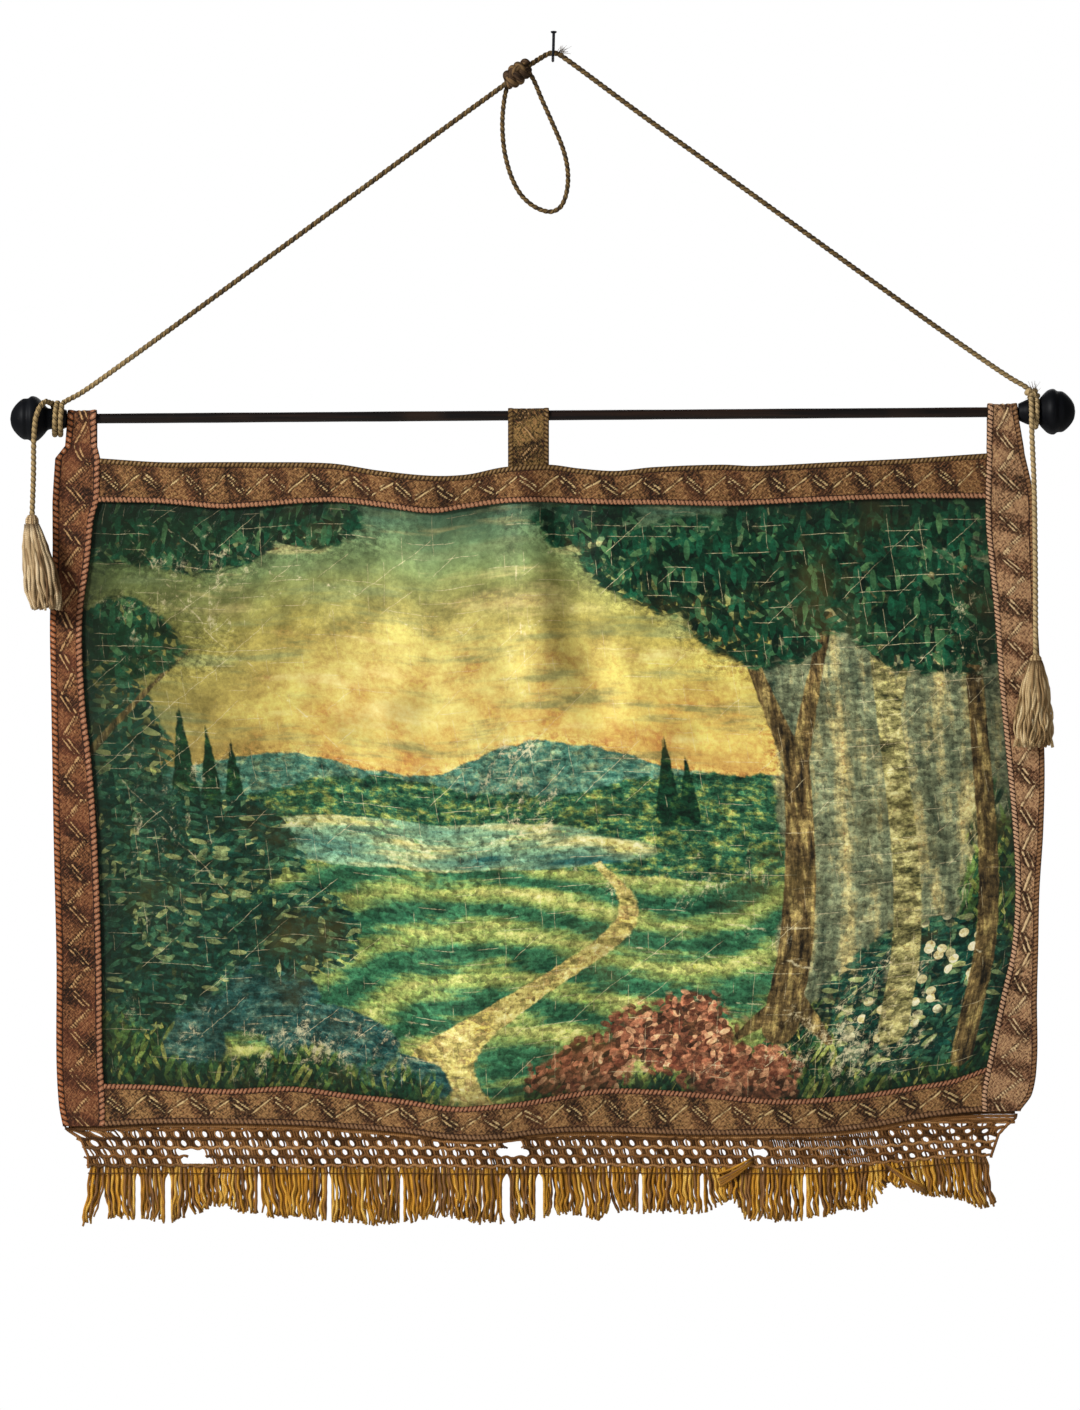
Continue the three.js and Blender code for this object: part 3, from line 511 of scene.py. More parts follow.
class Shader:
    """A material under way: a Principled surface and the nodes that feed it."""

    def __init__(self, name: str) -> None:
        """Starts an empty material of that name."""
        self.material = bpy.data.materials.new(name)
        self.material.use_nodes = True
        self.tree = self.material.node_tree
        self.tree.nodes.clear()
        self.output = self.tree.nodes.new("ShaderNodeOutputMaterial")
        self.uv = self.wire("UVMap", {"uv_map": "cut"})
        self.place = self.wire("TexCoord", output="Object")

    def wire(self, kind: str, settings: dict | None = None, inputs: dict | None = None,
             output: int | str = 0) -> Signal:
        """Adds any node, and gives one of its outputs.

        Args:
            kind: The node's type, without ShaderNode before it.
            settings: Its properties, set first. "stops" fills a ramp.
            inputs: Values or signals by socket name or number.
            output: Which output is returned.

        Returns:
            The output as a signal.
        """
        node = self.tree.nodes.new("ShaderNode" + kind)
        for key, value in (settings or {}).items():
            if key == "stops":
                self._fill(node.color_ramp, value)
            else:
                setattr(node, key, value)
        for key, value in (inputs or {}).items():
            socket = node.inputs[key]
            if isinstance(value, Signal):
                self.tree.links.new(value.socket, socket)
            elif socket.type == "RGBA":
                socket.default_value = (*value[:3], 1.0)
            else:
                socket.default_value = value
        return Signal(self, node.outputs[output])

    @staticmethod
    def _fill(ramp: bpy.types.ColorRamp, stops: list[tuple[float, Colour]]) -> None:
        """Sets a ramp's stops from places and colours."""
        while len(ramp.elements) < len(stops):
            ramp.elements.new(1.0)
        for element, (at, colour) in zip(ramp.elements, stops):
            element.position = at
            element.color = (*colour, 1.0)

    def layer(self, name: str) -> Signal:
        """A point attribute's value."""
        return self.wire("Attribute", {"attribute_name": name}, output="Fac")

    def parts(self, vector: Signal) -> tuple[Signal, Signal, Signal]:
        """A vector's three numbers."""
        node = self.wire("SeparateXYZ", None, {0: vector}).socket.node
        return tuple(Signal(self, socket) for socket in node.outputs)

    def vector(self, x: Signal | float, y: Signal | float, z: Signal | float = 0.0) -> Signal:
        """Three numbers as one vector."""
        return self.wire("CombineXYZ", None, {0: x, 1: y, 2: z})

    def stretched(self, vector: Signal, scale: tuple[float, float, float], turn: float = 0.0) -> Signal:
        """A vector turned about Z, where a turn is given, and then scaled."""
        if turn:
            turning = {"Vector": vector, "Rotation": (0, 0, turn)}
            vector = self.wire("Mapping", {"vector_type": "TEXTURE"}, turning)
        return self.wire("Mapping", {"vector_type": "POINT"}, {"Vector": vector, "Scale": scale})

    def noise(self, where: Signal, scale: float, detail: float = 3.0, rough: float = 0.55) -> Signal:
        """A soft random field from 0 to 1, mostly near 0.5."""
        inputs = {"Vector": where, "Scale": scale, "Detail": detail, "Roughness": rough}
        return self.wire("TexNoise", None, inputs, "Fac")

    def strokes(self, x: float, y: float, rough: float, turn: float = 0.0, detail: float = 4.0) -> Signal:
        """Soft random strokes on the piece's own UVs, about x by y of them to a metre."""
        return self.noise(self.stretched(self.uv, (x, y, 1), turn), 1.0, detail, rough)

    def cracks(self, where: Signal, scale: float) -> Signal:
        """The distance to the nearest edge between random cells."""
        inputs = {"Vector": where, "Scale": scale}
        return self.wire("TexVoronoi", {"feature": "DISTANCE_TO_EDGE"}, inputs, "Distance")

    def blend(self, share: Signal | float, a: Signal | Colour, b: Signal | Colour,
              how: str = "MIX") -> Signal:
        """Goes from colour a to colour b as share goes from 0 to 1."""
        settings = {"data_type": "RGBA", "blend_type": how}
        return self.wire("Mix", settings, {0: share, 6: a, 7: b}, 2)

    def ramp(self, value: Signal, colours: str | list[tuple[float, Colour]]) -> Signal:
        """A colour read from stops, given as such or as their text."""
        filled = stops(colours) if isinstance(colours, str) else colours
        return self.wire("ValToRGB", {"stops": filled}, {"Fac": value}, "Color")

    def bump(self, height: Signal, distance: float, strength: float = 1.0) -> Signal:
        """A normal from a height that runs from 0 to 1 over a distance in metres."""
        inputs = {"Height": height, "Distance": distance, "Strength": strength}
        return self.wire("Bump", None, inputs, "Normal")

    def finish(self, colour: Signal, roughness: "Signal | float", normal: Signal,
               more: dict[str, float] | None = None) -> Material:
        """Closes the material with a Principled surface, and gives it.

        Args:
            colour: The base colour.
            roughness: The roughness.
            normal: The bumped normal.
            more: Other sockets by name.

        Returns:
            The material.
        """
        inputs = {"Specular IOR Level": 0.15, "Base Color": colour, "Roughness": roughness, "Normal": normal}
        surface = self.wire("BsdfPrincipled", None, inputs | (more or {}), "BSDF")
        self.tree.links.new(surface.socket, self.output.inputs["Surface"])
        return self.material


# The cloth's shape

@dataclass(frozen=True)
class HungCloth:
    """Where the hung cloth lies: its grid lines between the strips, and its folds.

    Columns are numbered from the left strip's outer edge: 0 to 3 across that strip,
    then even ones across the print, then 3 more across the right strip. Rows are
    numbered in the same way from the top strip's upper edge downwards.

    Attributes:
        columns: Grid steps across the print.
        rows: Grid steps down the print.
        inset: Grid steps across a strip.
        strip_places: Where a strip's grid lines lie, as shares of its width.
    """

    columns: int = 34
    rows: int = 15
    inset: int = 3
    strip_places: tuple[float, ...] = (0, 0.15, 0.85, 1)

    @property
    def right(self) -> int:
        """The column of the right strip's inner edge."""
        return self.columns + self.inset

    @property
    def foot(self) -> int:
        """The row of the bottom strip's upper edge."""
        return self.rows + self.inset

    def _blend(self, at: Array, inside: int, edges: tuple[Array, Array, Array, Array]) -> Array:
        """Places a line between two strips' edges by its number."""
        second = self.inset + inside
        share = lambda first: np.interp(at - first, np.arange(self.inset + 1), self.strip_places)
        before = mix(edges[0], edges[1], share(0))
        after = mix(edges[2], edges[3], share(second))
        between = mix(edges[1], edges[2], (at - self.inset) / inside)
        return np.where(at < self.inset, before, np.where(at > second, after, between))

    def place(self, column: Array, row: Array) -> tuple[Array, Array]:
        """Where two grid lines cross, settled by turns.

        A column's x comes from the side strips' edges at a height, and a row's z
        from the top and bottom strips' edges at that x, five times over.

        Args:
            column: Column numbers, which may have fractions.
            row: Row numbers.

        Returns:
            The x and the z of each crossing.
        """
        column, row = np.broadcast_arrays(np.asarray(column, float), np.asarray(row, float))
        x, z = np.zeros(column.shape), np.full(column.shape, -0.6)
        for _ in range(5):
            sides = (along(LEFT_STRIP, 1, z), along(LEFT_STRIP, 2, z), along(RIGHT_STRIP, 2, z),
                     along(RIGHT_STRIP, 1, z))
            x = self._blend(column, self.columns, sides)
            ends = (along(TOP_STRIP, 1, x), along(TOP_STRIP, 2, x), along(BOTTOM_STRIP, 1, x),
                    along(BOTTOM_STRIP, 2, x))
            z = self._blend(row, self.rows, ends)
        return x, z

    def depth(self, x: Array, z: Array) -> Array:
        """The cloth's middle at a place: the hanging depth less every fold's share.

        A fold's share is its height times exp(-((across / reach)^2 + (beyond /
        1.6 reach)^2) / 2), where beyond is how far the place is past the line's end.

        Args:
            x: Places across.
            z: Places up.

        Returns:
            The depth y at each place.
        """
        out = np.zeros(np.broadcast(x, z).shape)
        for x0, z0, x1, z1, reach, height in FOLDS:
            dx, dz = x1 - x0, z1 - z0
            length = math.hypot(dx, dz)
            share = ((x - x0) * dx + (z - z0) * dz) / length**2
            beyond = (share - np.clip(share, 0, 1)) * length
            across = ((x - x0) * dz - (z - z0) * dx) / length
            out += height * np.exp(-0.5 * ((across / reach) ** 2 + (beyond / (1.6 * reach)) ** 2))
        return HANG_DEPTH - out

    def points(self, column: Array, row: Array, back: float = 0.0) -> Array:
        """The cloth's points at grid numbers, set back from its middle by a distance."""
        x, z = self.place(column, row)
        return np.stack([x, self.depth(x, z) + back, z], -1)


CLOTH = HungCloth()


def rod_height(x: Array) -> Array:
    """The height of the rod's axis, which rises a little to the right."""
    return ROD["z"] + (x - ROD["x"]) * math.tan(ROD["tilt"])


# Finishes

@dataclass(frozen=True)
class CordFinish:
    """Two-ply cord: one ply dark brown and one olive gold, paler where it is rubbed, paler again low down as
    painted light, and with painted shade in the grooves between the plies.
    """

    name: str = "two_ply_cord"
    dark: Colour = ink("2c1e11")
    gold: Colour = ink("68502c")
    pale: Colour = ink("b09668")
    worn: float = 0.0

    def material(self) -> Material:
        """Colours each ply by its side of the section, with slanting fibres, painted light on its lower
        lengths and painted shade in its grooves.
        """
        s = Shader(self.name)
        length, girth, _ = s.parts(s.uv)
        fibres = s.noise(s.vector(length * 260 + girth * 5.0, girth * 26.0), 1.0, 2.0)
        ply = (girth + 0.25) % 1.0
        is_gold = ply.rise(0.47, 0.53) * (1 - ply.rise(0.96, 1.0))
        colour = s.blend(is_gold, self.dark, self.gold)
        groove = abs(((girth * 2.0 + 0.5) % 1.0) - 0.5).rise(0.0, 0.2)
        # Painted light: the cord turns paler low down, near the rod and along its tails.
        low = s.parts(s.place)[2].rise(-0.20, -0.262)
        colour = s.blend(low * 0.62, colour, self.pale)
        rubbed = s.noise(s.place, 46.0, 3.0).rise(0.62 - 0.5 * self.worn, 0.8 - 0.45 * self.worn)
        colour = s.blend(rubbed * 0.75, colour, self.pale)
        colour = s.blend(fibres.rise(0.35, 0.75) * 0.45, colour, self.pale)
        # Painted shade: the grooves between the plies are darkened.
        colour = s.blend((1 - groove) * 0.75, colour, ink("1e140c"))
        normal = s.bump(fibres + groove * 1.2, 0.0006, 0.8)
        return s.finish(colour, 0.85, normal)


@dataclass(frozen=True)
class YarnFinish:
    """Cut or knotted yarn whose strands differ in shade, with painted shadow at the roots and painted shade
    in the twist.
    """

    name: str
    colours: str
    root: Colour
    root_reach: float = 0.35
    tip: Colour | None = None

    def material(self) -> Material:
        """Gives each yarn its own shade, with a fine twist, painted shade in the twist's grooves and painted
        shadow at its root.
        """
        s = Shader(self.name)
        length, girth, _ = s.parts(s.uv)
        strand = (length * 620.0 + girth * 2.0).wave(1.0)
        fibre = s.noise(s.vector(length * 300, girth * 20), 1.0, 2.0)
        patch = s.noise(s.place, 60.0, 2.0) - 0.5
        colour = s.ramp(s.layer("tone") * 0.8 + patch * 0.7 + fibre * 0.2, self.colours)
        # Painted shadow: each yarn darkens towards its root, where it meets the others.
        colour = s.blend((1 - s.layer("reach").rise(0.0, self.root_reach)) * 0.7, colour, self.root)
        if self.tip:
            colour = s.blend(s.layer("reach").rise(0.72, 1.0) * 0.45, colour, self.tip)
        # Painted shade: the troughs of the twist are darkened towards the root colour.
        colour = s.blend((1 - strand.rise(0.0, 0.5)) * 0.45, colour, self.root)
        colour = s.blend(fibre.rise(0.5, 0.36) * 0.4, colour, self.root)
        normal = s.bump(strand * 0.7 + fibre * 0.5, 0.0005, 0.8)
        return s.finish(colour, 0.8, normal)


@dataclass(frozen=True)
class GalloonFinish:
    """Woven braid: dark and light blocks, gold zigzag threads and beaded edges."""

    name: str
    first_edge: Colour
    second_edge: Colour
    dark: Colour = ink("4a321d")
    light: Colour = ink("845e38")
    gold: Colour = ink("be9a62")
    bright: Colour = ink("e4ca94")
    tint: Colour = ink("78422c")
    tinted: float = 0.15

    def material(self) -> Material:
        """Reads the braid's own layers: block, gold, shade, edge, side and whip, the last for the edge beads'
        painted shade and highlight.
        """
        s = Shader(self.name)
        fleck = s.noise(s.uv, 520.0, 4.0, 0.75)
        thread = s.strokes(190, 760, 0.7, 0.75, 3.0)
        cross = s.strokes(190, 760, 0.7, -0.75, 3.0)
        broad = s.noise(s.uv, 24.0, 3.0)
        weave = fleck * 0.4 + thread * 0.32 + cross * 0.28 - 0.5
        lit = weave * 4.0 + broad * 0.5 + s.layer("block") * 0.28 + 0.07
        colour = s.ramp(lit, [(0.1, ink("1e130c")), (0.38, self.dark), (0.66, self.light), (1.0, self.gold)])
        colour = s.blend(thread.rise(0.52, 0.64) * 0.35, colour, ink("a06446"))
        colour = s.blend(s.layer("shade") * 0.75, colour, ink("20140c"))
        colour = s.blend(broad.rise(0.42, 0.66) * self.tinted, colour, self.tint)
        ends = s.blend(s.layer("side"), self.first_edge, self.second_edge)
        # The whipped edges: painted shade between the beads and down the sides of their half round, and a
        # painted highlight on their crests.
        bead = s.layer("whip") + weave * 1.6
        rim = s.blend(bead.rise(0.25, 0.6), ink("2e1c13"), ends)
        rim = s.blend(bead.rise(0.75, 1.15) * 0.7, rim, ink("d8b08e"))
        colour = s.blend(s.layer("edge").rise(0.25, 0.6), colour, rim)
        gold = (s.layer("gold") + weave * 1.6).rise(0.35, 0.7)
        colour = s.blend(gold * 0.9, colour, s.blend(broad, self.gold, self.bright))
        height = lit * 0.9 + gold * 0.7
        rough = 0.84 - gold * 0.3
        return s.finish(colour, rough, s.bump(height, 0.0008, 0.9))


@dataclass(frozen=True)
class WoodFinish:
    """Dark wood of the rod: stained, a little dusty, with grain along it."""

    name: str = "stained_rod"

    def material(self) -> Material:
        """Runs the grain along the rod and rubs the stain thin in places."""
        s = Shader(self.name)
        grain = s.noise(s.stretched(s.place, (6, 190, 190)), 1.0, 4.0, 0.6)
        patch = s.noise(s.place, 14.0, 3.0)
        colour = s.blend(grain.rise(0.4, 0.7), ink("0a0605"), ink("28180f"))
        colour = s.blend(patch.rise(0.5, 0.7) * 0.3, colour, ink("3e2a1c"))
        rough = 0.42 + patch * 0.2
        normal = s.bump(grain, 0.0002, 0.5)
        return s.finish(colour, rough, normal, {"Coat Weight": 0.04})


@dataclass(frozen=True)
class LacquerFinish:
    """Black lacquer of the turned finials, with patches of dust and a few rubbed spots."""

    name: str = "black_lacquer"

    def material(self) -> Material:
        """Blue-black, with faint turning rings and a few rubbed spots."""
        s = Shader(self.name)
        along_axis, _, _ = s.parts(s.uv)
        rings = s.noise(s.vector(along_axis * 1600, 0.0), 1.0, 1.0)
        spots = s.noise(s.place, 190.0, 4.0, 0.65)
        dust = s.noise(s.place, 34.0, 3.0)
        colour = s.blend(dust.rise(0.4, 0.75) * 0.5, ink("030407"), ink("121419"))
        colour = s.blend(spots.rise(0.68, 0.76) * 0.4, colour, ink("504232"))
        rough = 0.38 + dust * 0.3
        normal = s.bump(rings * 0.5 + spots * 0.5, 0.00025, 0.5)
        return s.finish(colour, rough, normal, {"Specular IOR Level": 0.1})


@dataclass(frozen=True)
class SteelFinish:
    """Dark steel of the nail, with a little rust."""

    name: str = "nail_steel"

    def material(self) -> Material:
        """Blue-grey steel with brown specks."""
        s = Shader(self.name)
        specks = s.noise(s.place, 900.0, 4.0, 0.6)
        colour = s.blend(specks.rise(0.55, 0.7) * 0.7, ink("16191e"), ink("2c2018"))
        rough = 0.45 + specks * 0.3
        normal = s.bump(specks, 0.0001, 0.6)
        return s.finish(colour, rough, normal, {"Metallic": 0.4})


# Cords, knots and tassels

class FarEnd(Enum):
    FITTING = "fitting"
    KNOT = "knot"
    OBJECT = "object"


class Lay(Enum):
    HANGING = "hanging"
    TAUT = "taut"


def neck_turns(from_x: float, to_x: float, radius: float, turns: float, start: float) -> Array:
    """Turns of the cord round the rod's line: y = -sin(angle) r and z = cos(angle) r about it."""
    count = round(turns * 12)
    t = np.linspace(0, 1, count + 1)
    angle = start + turns * 2 * math.pi * t
    x = mix(from_x, to_x, t)
    return np.stack([x, ROD["y"] - np.sin(angle) * radius, rod_height(x) + np.cos(angle) * radius], -1)


LEFT_TAIL = mm(
    (-405, -30, -277), (-409.4, -37, -282.6), (-412, -39.6, -291), (-413, -39.8, -300),
    (-413.6, -39.4, -312), (-413.8, -39, -335), (-415, -38.4, -369.5),
)
LEFT_RISE = mm(
    (-33, -12.3, -18.1), (-40, -12.5, -23.2), (-80, -13, -52.2), (-160, -14, -111), (-250, -15.1, -177.1),
    (-340, -16.2, -242.8), (-377, -16.8, -269),
)
LOOP_ROUTE = mm(
    (-34.5, -11.4, -19.5), (-37.4, -9.4, -26), (-40.2, -7.6, -44), (-40.3, -6.4, -62), (-38, -5.6, -79.5),
    (-32, -4.8, -98.6), (-24, -4.2, -111.6), (-13, -3.6, -120.2), (-1.6, -3.4, -123.2), (5.4, -3.4, -120),
    (9.6, -3.8, -112.6), (12, -4.4, -99.8), (11.4, -5, -86.8), (8, -5.6, -72.8), (0.6, -6.6, -54.8),
    (-9, -8, -33.4), (-15.8, -9.4, -17.5), (-20.5, -11.4, -10),
)
RIGHT_RISE = mm(
    (383, -19, -269), (377.4, -18.2, -264.2), (366.6, -17, -257.8), (330, -15.4, -232.8),
    (250, -12.4, -175.4), (160, -9.4, -110), (70, -6.6, -45), (12, -4.9, -2), (4.2, -4.4, 3.2),
    (-0.5, -4.1, 4.1), (-4.4, -4.6, 3.1), (-10, -6.9, -0.3), (-17.5, -11.2, -5.6), (-23.5, -12.2, -10),
)
RIGHT_TAIL = mm(
    (382, -25.6, -273.4), (381.7, -30.2, -278), (381.7, -32.4, -286), (381.8, -33.2, -300),
    (382.6, -33.6, -320), (383.6, -33.8, -345), (384.4, -34.4, -400), (384.6, -35.2, -450),
    (384.6, -35.8, -480.5),
)
LEFT_TURNS = neck_turns(-0.392, -0.401, 0.0127, 2, 0.1 * math.pi)
HITCH_TURNS = neck_turns(0.3862, 0.3858, 0.012, 0.83, 0.17 * math.pi)


@dataclass(frozen=True)
class Knot:
    """A knot's lump: fat turns of the cord about an axis in the plane of the wall.

    Attributes:
        name: The piece's name.
        node: The CAD node that it replaces.
        middle: The lump's centre.
        long: Half its length along the axis.
        wide: Half its width.
        lean: The axis's angle from X, in degrees.
        turns: How many turns the cord makes.
        thick: The turns' diameter.
    """

    name: str
    node: str
    middle: tuple[float, float, float]
    long: float
    wide: float
    lean: float
    turns: float
    thick: float

    def _placed(self, along_axis: Array, side: Array, front: Array) -> Array:
        """Turns the knot's own three directions into the object's frame."""
        turn = math.radians(self.lean)
        axis = np.array((math.cos(turn), 0.0, math.sin(turn)))
        across = np.array((-math.sin(turn), 0.0, math.cos(turn)))
        toward = np.array((0.0, -1.0, 0.0))
        spread = along_axis[:, None] * axis + side[:, None] * across + front[:, None] * toward
        return spread + np.array(self.middle)

    def skins(self) -> list[Skin]:
        """Winds the turns and lays one more over them.

        The turns' radius is (wide - thick/2) sqrt(1 - (0.8 u)^2) for u from -1 to 1
        along the axis, and the crossing turn goes lengthwise over the front.
        """
        u = np.linspace(-1, 1, 90)
        angle = math.pi * self.turns * (u + 0.2)
        reach = self.long - self.thick / 2
        around = (self.wide - self.thick / 2) * np.sqrt(1 - (0.8 * u) ** 2)
        wound = self._placed(u * reach + 0.12 * reach * np.cos(angle), np.cos(angle) * around,
                             np.sin(angle) * around)
        v = np.linspace(-0.75 * math.pi, 0.75 * math.pi, 50)
        over = self._placed(np.sin(v) * reach * 0.95, 0.35 * self.wide * np.cos(2 * v),
                            np.cos(v) * (self.wide - self.thick * 0.42))
        core = self._placed(u[::6] * reach * 0.8, 0 * u[::6], 0 * u[::6])
        return [plied_tube(wound, self.thick, 0.02), plied_tube(over, self.thick * 0.8, 0.018),
                plied_tube(core, self.wide * 1.3, 0.03)]


@dataclass(frozen=True)
class Tassel:
    """A tassel: its head on the cord's end, a tie, and a skirt of cut yarn.

    Attributes:
        name: The piece's name.
        node: The CAD node that it replaces.
        head: The head's top, where the cord enters.
        head_height: The head's height down to its tie.
        head_radius: The head's radius.
        skirt_x: Where the skirt's foot has swung to.
        half: The skirt's half width and half depth at its foot.
        foot: The height of the skirt's foot.
        count: How many yarns it has.
        thick: A yarn's radius.
        wavy: How far a yarn strays to the side.
        seed: Gives the yarns their places.
    """

    name: str
    node: str
    head: tuple[float, float, float]
    head_height: float
    head_radius: float
    skirt_x: float
    half: tuple[float, float]
    foot: float
    count: int
    thick: float
    wavy: float
    seed: int

    def skirt(self) -> list[Skin]:
        """Lets the yarns fall from the tie and spread evenly over the foot's oval.

        A yarn starts at its own place q in the tie and ends at its place in the oval:
        offset = q (start + (end - start) ease(1.7 t)), plus two sine waves.
        """
        rng = np.random.default_rng(self.seed)
        k = np.arange(self.count) + 0.5
        reach = np.sqrt(k / self.count)
        angle = k * 2.39996 + rng.normal(0, 0.15, self.count)
        t = np.linspace(0, 1, 16)[None]
        spread = ease(1.25 * t + 0.02, 0, 1.05) ** 0.42
        start = self.head_radius * 0.8
        x0, y0, z0 = self.head
        tie = z0 - self.head_height
        sideways = np.cos(angle)[:, None] * reach[:, None] * mix(start, self.half[0] - self.thick, spread)
        forward = np.sin(angle)[:, None] * reach[:, None] * mix(start, self.half[1] - self.thick, spread)
        phase, pace, lean = rng.random((3, self.count, 1))
        stray = self.wavy * t * np.sin(2 * math.pi * (phase + (1.2 + 1.6 * pace) * t))
        swing = self.wavy * t * np.cos(2 * math.pi * (pace + (1.1 + 1.5 * lean) * t))
        foot = self.foot + 0.004 * rng.random((self.count, 1)) + 0.003 * (1 - reach[:, None])
        z = mix(tie + 0.002, foot, t)
        x = mix(x0, self.skirt_x, t) + sideways + stray
        y = y0 + forward + swing
        radius = self.thick * (0.85 + 0.3 * rng.random((self.count, 1))) * (1 - 0.25 * t**6)
        return yarns(np.stack([x, y, z], -1), radius, 6, 0.006, self.seed + 1)

    def cap(self) -> list[Skin]:
        """Shapes the head as a ball ribbed by its yarns, and winds the tie below it."""
        down = np.linspace(0, 1.5, 26)
        wide = np.interp(down, (0, 0.05, 0.35, 0.7, 1, 1.3, 1.5), (0.3, 0.6, 0.95, 1, 0.76, 0.98, 0.8))
        angle = full_turn(72)
        radius = self.head_radius * wide[:, None] * (1 + 0.05 * np.cos(18 * angle + 3 * down[:, None]))
        x0, y0, z0 = self.head
        z = np.broadcast_to((z0 - down * self.head_height)[:, None], radius.shape)
        points = np.stack([x0 + np.sin(angle) * radius, y0 - np.cos(angle) * radius, z], -1)[:, ::-1]
        shade = 0.5 + 0.4 * np.sin(9 * angle) + 0 * radius
        ball = Skin(points, ring_uv(down * self.head_height, 72, 1.0), True, True,
                    {"tone": shade, "reach": np.full(radius.shape, 0.6)})
        turn = np.linspace(0, 2 * math.pi * 2.6, 70)
        around = self.head_radius * 0.86
        tie = np.stack([x0 + np.sin(turn) * around, y0 - np.cos(turn) * around,
                        z0 - self.head_height - 0.0009 + 0.0007 * turn / math.pi - 0.0016], -1)
        return [ball] + yarns(tie[None], 0.0007, 8, 0.004, self.seed + 2)


@dataclass
class HangingCord:
    """The one cord that the tapestry hangs by, in the lengths between its knots."""

    diameter: float = CORD_DIAMETER
    loop_diameter: float = 0.0041
    twist: float = 0.0088
    step: float = 0.0007
    slip_knot: Knot = Knot("slip_knot", "knot_top", (-0.0288, -0.0122, -0.014), 0.0138, 0.0092, 36,
                            3.6, 0.0078)
    hitch_knot: Knot = Knot("hitch_knot", "knot_right", (0.3834, -0.0188, -0.2703), 0.0062, 0.0056, -50,
                             2.0, 0.0046)
    left: Tassel = Tassel("yarn_tassel_left", "tassel_left", (-0.415, -0.0382, -0.3674), 0.010, 0.0052,
                           -0.4035,
                          (0.0150, 0.0102), -0.4445, 110, 0.00160, 0.0016, 11)
    right: Tassel = Tassel("yarn_tassel_right", "tassel_right", (0.3846, -0.036, -0.4790), 0.007, 0.0048,
                            0.3824,
                           (0.0158, 0.0098), -0.5535, 150, 0.00116, 0.0022, 23)

    def run(self, name: str, node: str, points: Array, end: FarEnd, lay: Lay, finish: Material,
            carried: list[Piece]) -> Piece:
        """Lays one length of the cord.

        Args:
            name: The piece's name.
            node: The CAD node that it replaces.
            points: Its route, from where it leaves the object.
            end: What is on its far end; not used.
            lay: How it lies; not used.
            finish: Its material.
            carried: The pieces on it; not used.

        Returns:
            The piece.
        """
        path = route(points, self.step)
        diameter = self.loop_diameter if points is LOOP_ROUTE else self.diameter
        piece = make_mesh(name, [plied_tube(path, diameter, self.twist)])
        settle(piece, finish, "cord", node)
        return piece

    def fuzz(self, name: str, root: Array, aim: Array, count: int, long: float, finish: Material,
             seed: int) -> Piece:
        """Adds short loose fibres that stand off the cord where it is worn.

        Args:
            name: The piece's name.
            root: The middle of the worn place.
            aim: The way that the fibres mostly point.
            count: How many there are.
            long: Their longest length.
            finish: Their material.
            seed: Gives them their places.

        Returns:
            The piece.
        """
        rng = np.random.default_rng(seed)
        start = root + rng.normal(0, 0.0012, (count, 3))
        way = unit(np.asarray(aim) + rng.normal(0, 0.45, (count, 3)))
        bend = rng.normal(0, 0.25, (count, 3))
        t = np.linspace(0, 1, 7)[None, :, None]
        length = long * (0.4 + 0.6 * rng.random((count, 1, 1)))
        paths = start[:, None] + length * (way[:, None] * t + bend[:, None] * t**2)
        radius = 0.00022 * (1 - 0.7 * t[..., 0]) * np.ones((count, 1))
        return settle(make_mesh(name, yarns(paths, radius, 4, 0.01, seed + 1)), finish, "cord")

    def build(self) -> list[Piece]:
        """Makes every length, both knots, both tassels and the frayed places."""
        brown = CordFinish().material()
        rubbed = CordFinish("rubbed_cord", ink("644e32"), ink("9c8256"), ink("bea476"), 0.5).material()
        knotted = CordFinish("knotted_cord", ink("2e1e13"), ink("685032"), ink("806648"), 0.1).material()
        fibre = YarnFinish("loose_fibre", "0:543e24 100:a88c60",
                           ink("3c2a18")).material()
        beige = YarnFinish("beige_yarn", "0:62482e 35:967a56 70:baa078 100:d8c29c",
                           ink("3c2a19"), 0.12).material()
        knots = [settle(make_mesh(k.name, k.skins()), f, "cord", k.node)
                 for k, f in ((self.slip_knot, knotted), (self.hitch_knot, rubbed))]
        pale = YarnFinish("pale_yarn", "0:745838 35:ac8e62 70:d0b484 100:e8d2a6",
                          ink("4c3620"), 0.12).material()
        tassels = [settle(make_mesh(t.name, t.skirt() + t.cap()), f, "tassel", t.node)
                   for t, f in ((self.left, beige), (self.right, pale))]
        nail_fuzz = self.fuzz("nail_fuzz", np.array((0.006, -0.0048, 0.0045)), np.array((1.0, -0.2, 0.5)), 26,
                              0.007, fibre, 31)
        horns = self.fuzz("hitch_fuzz", np.array((0.3838, -0.022, -0.270)), np.array((0.1, -0.2, 1.0)), 40,
                          0.009, fibre, 37)
        left_route = np.vstack([LEFT_RISE, LEFT_TURNS, LEFT_TAIL])
        runs = [
            self.run("cord_rise_left", "cord_left", left_route, FarEnd.FITTING, Lay.HANGING, brown,
                     tassels[:1]),
            self.run("cord_slip_loop", "cord_loop", LOOP_ROUTE, FarEnd.OBJECT, Lay.HANGING, brown, []),
            self.run("cord_rise_right", "cord_right", RIGHT_RISE, FarEnd.KNOT, Lay.TAUT, brown,
                     [*knots, nail_fuzz, horns]),
            self.run("cord_fall_right", "cord_tail_right", RIGHT_TAIL, FarEnd.FITTING, Lay.HANGING, rubbed,
                     tassels[1:]),
            self.run("cord_round_neck", "cord_hitch", HITCH_TURNS, FarEnd.OBJECT, Lay.TAUT, rubbed, []),
        ]
        return [*runs, *knots, *tassels, nail_fuzz, horns]


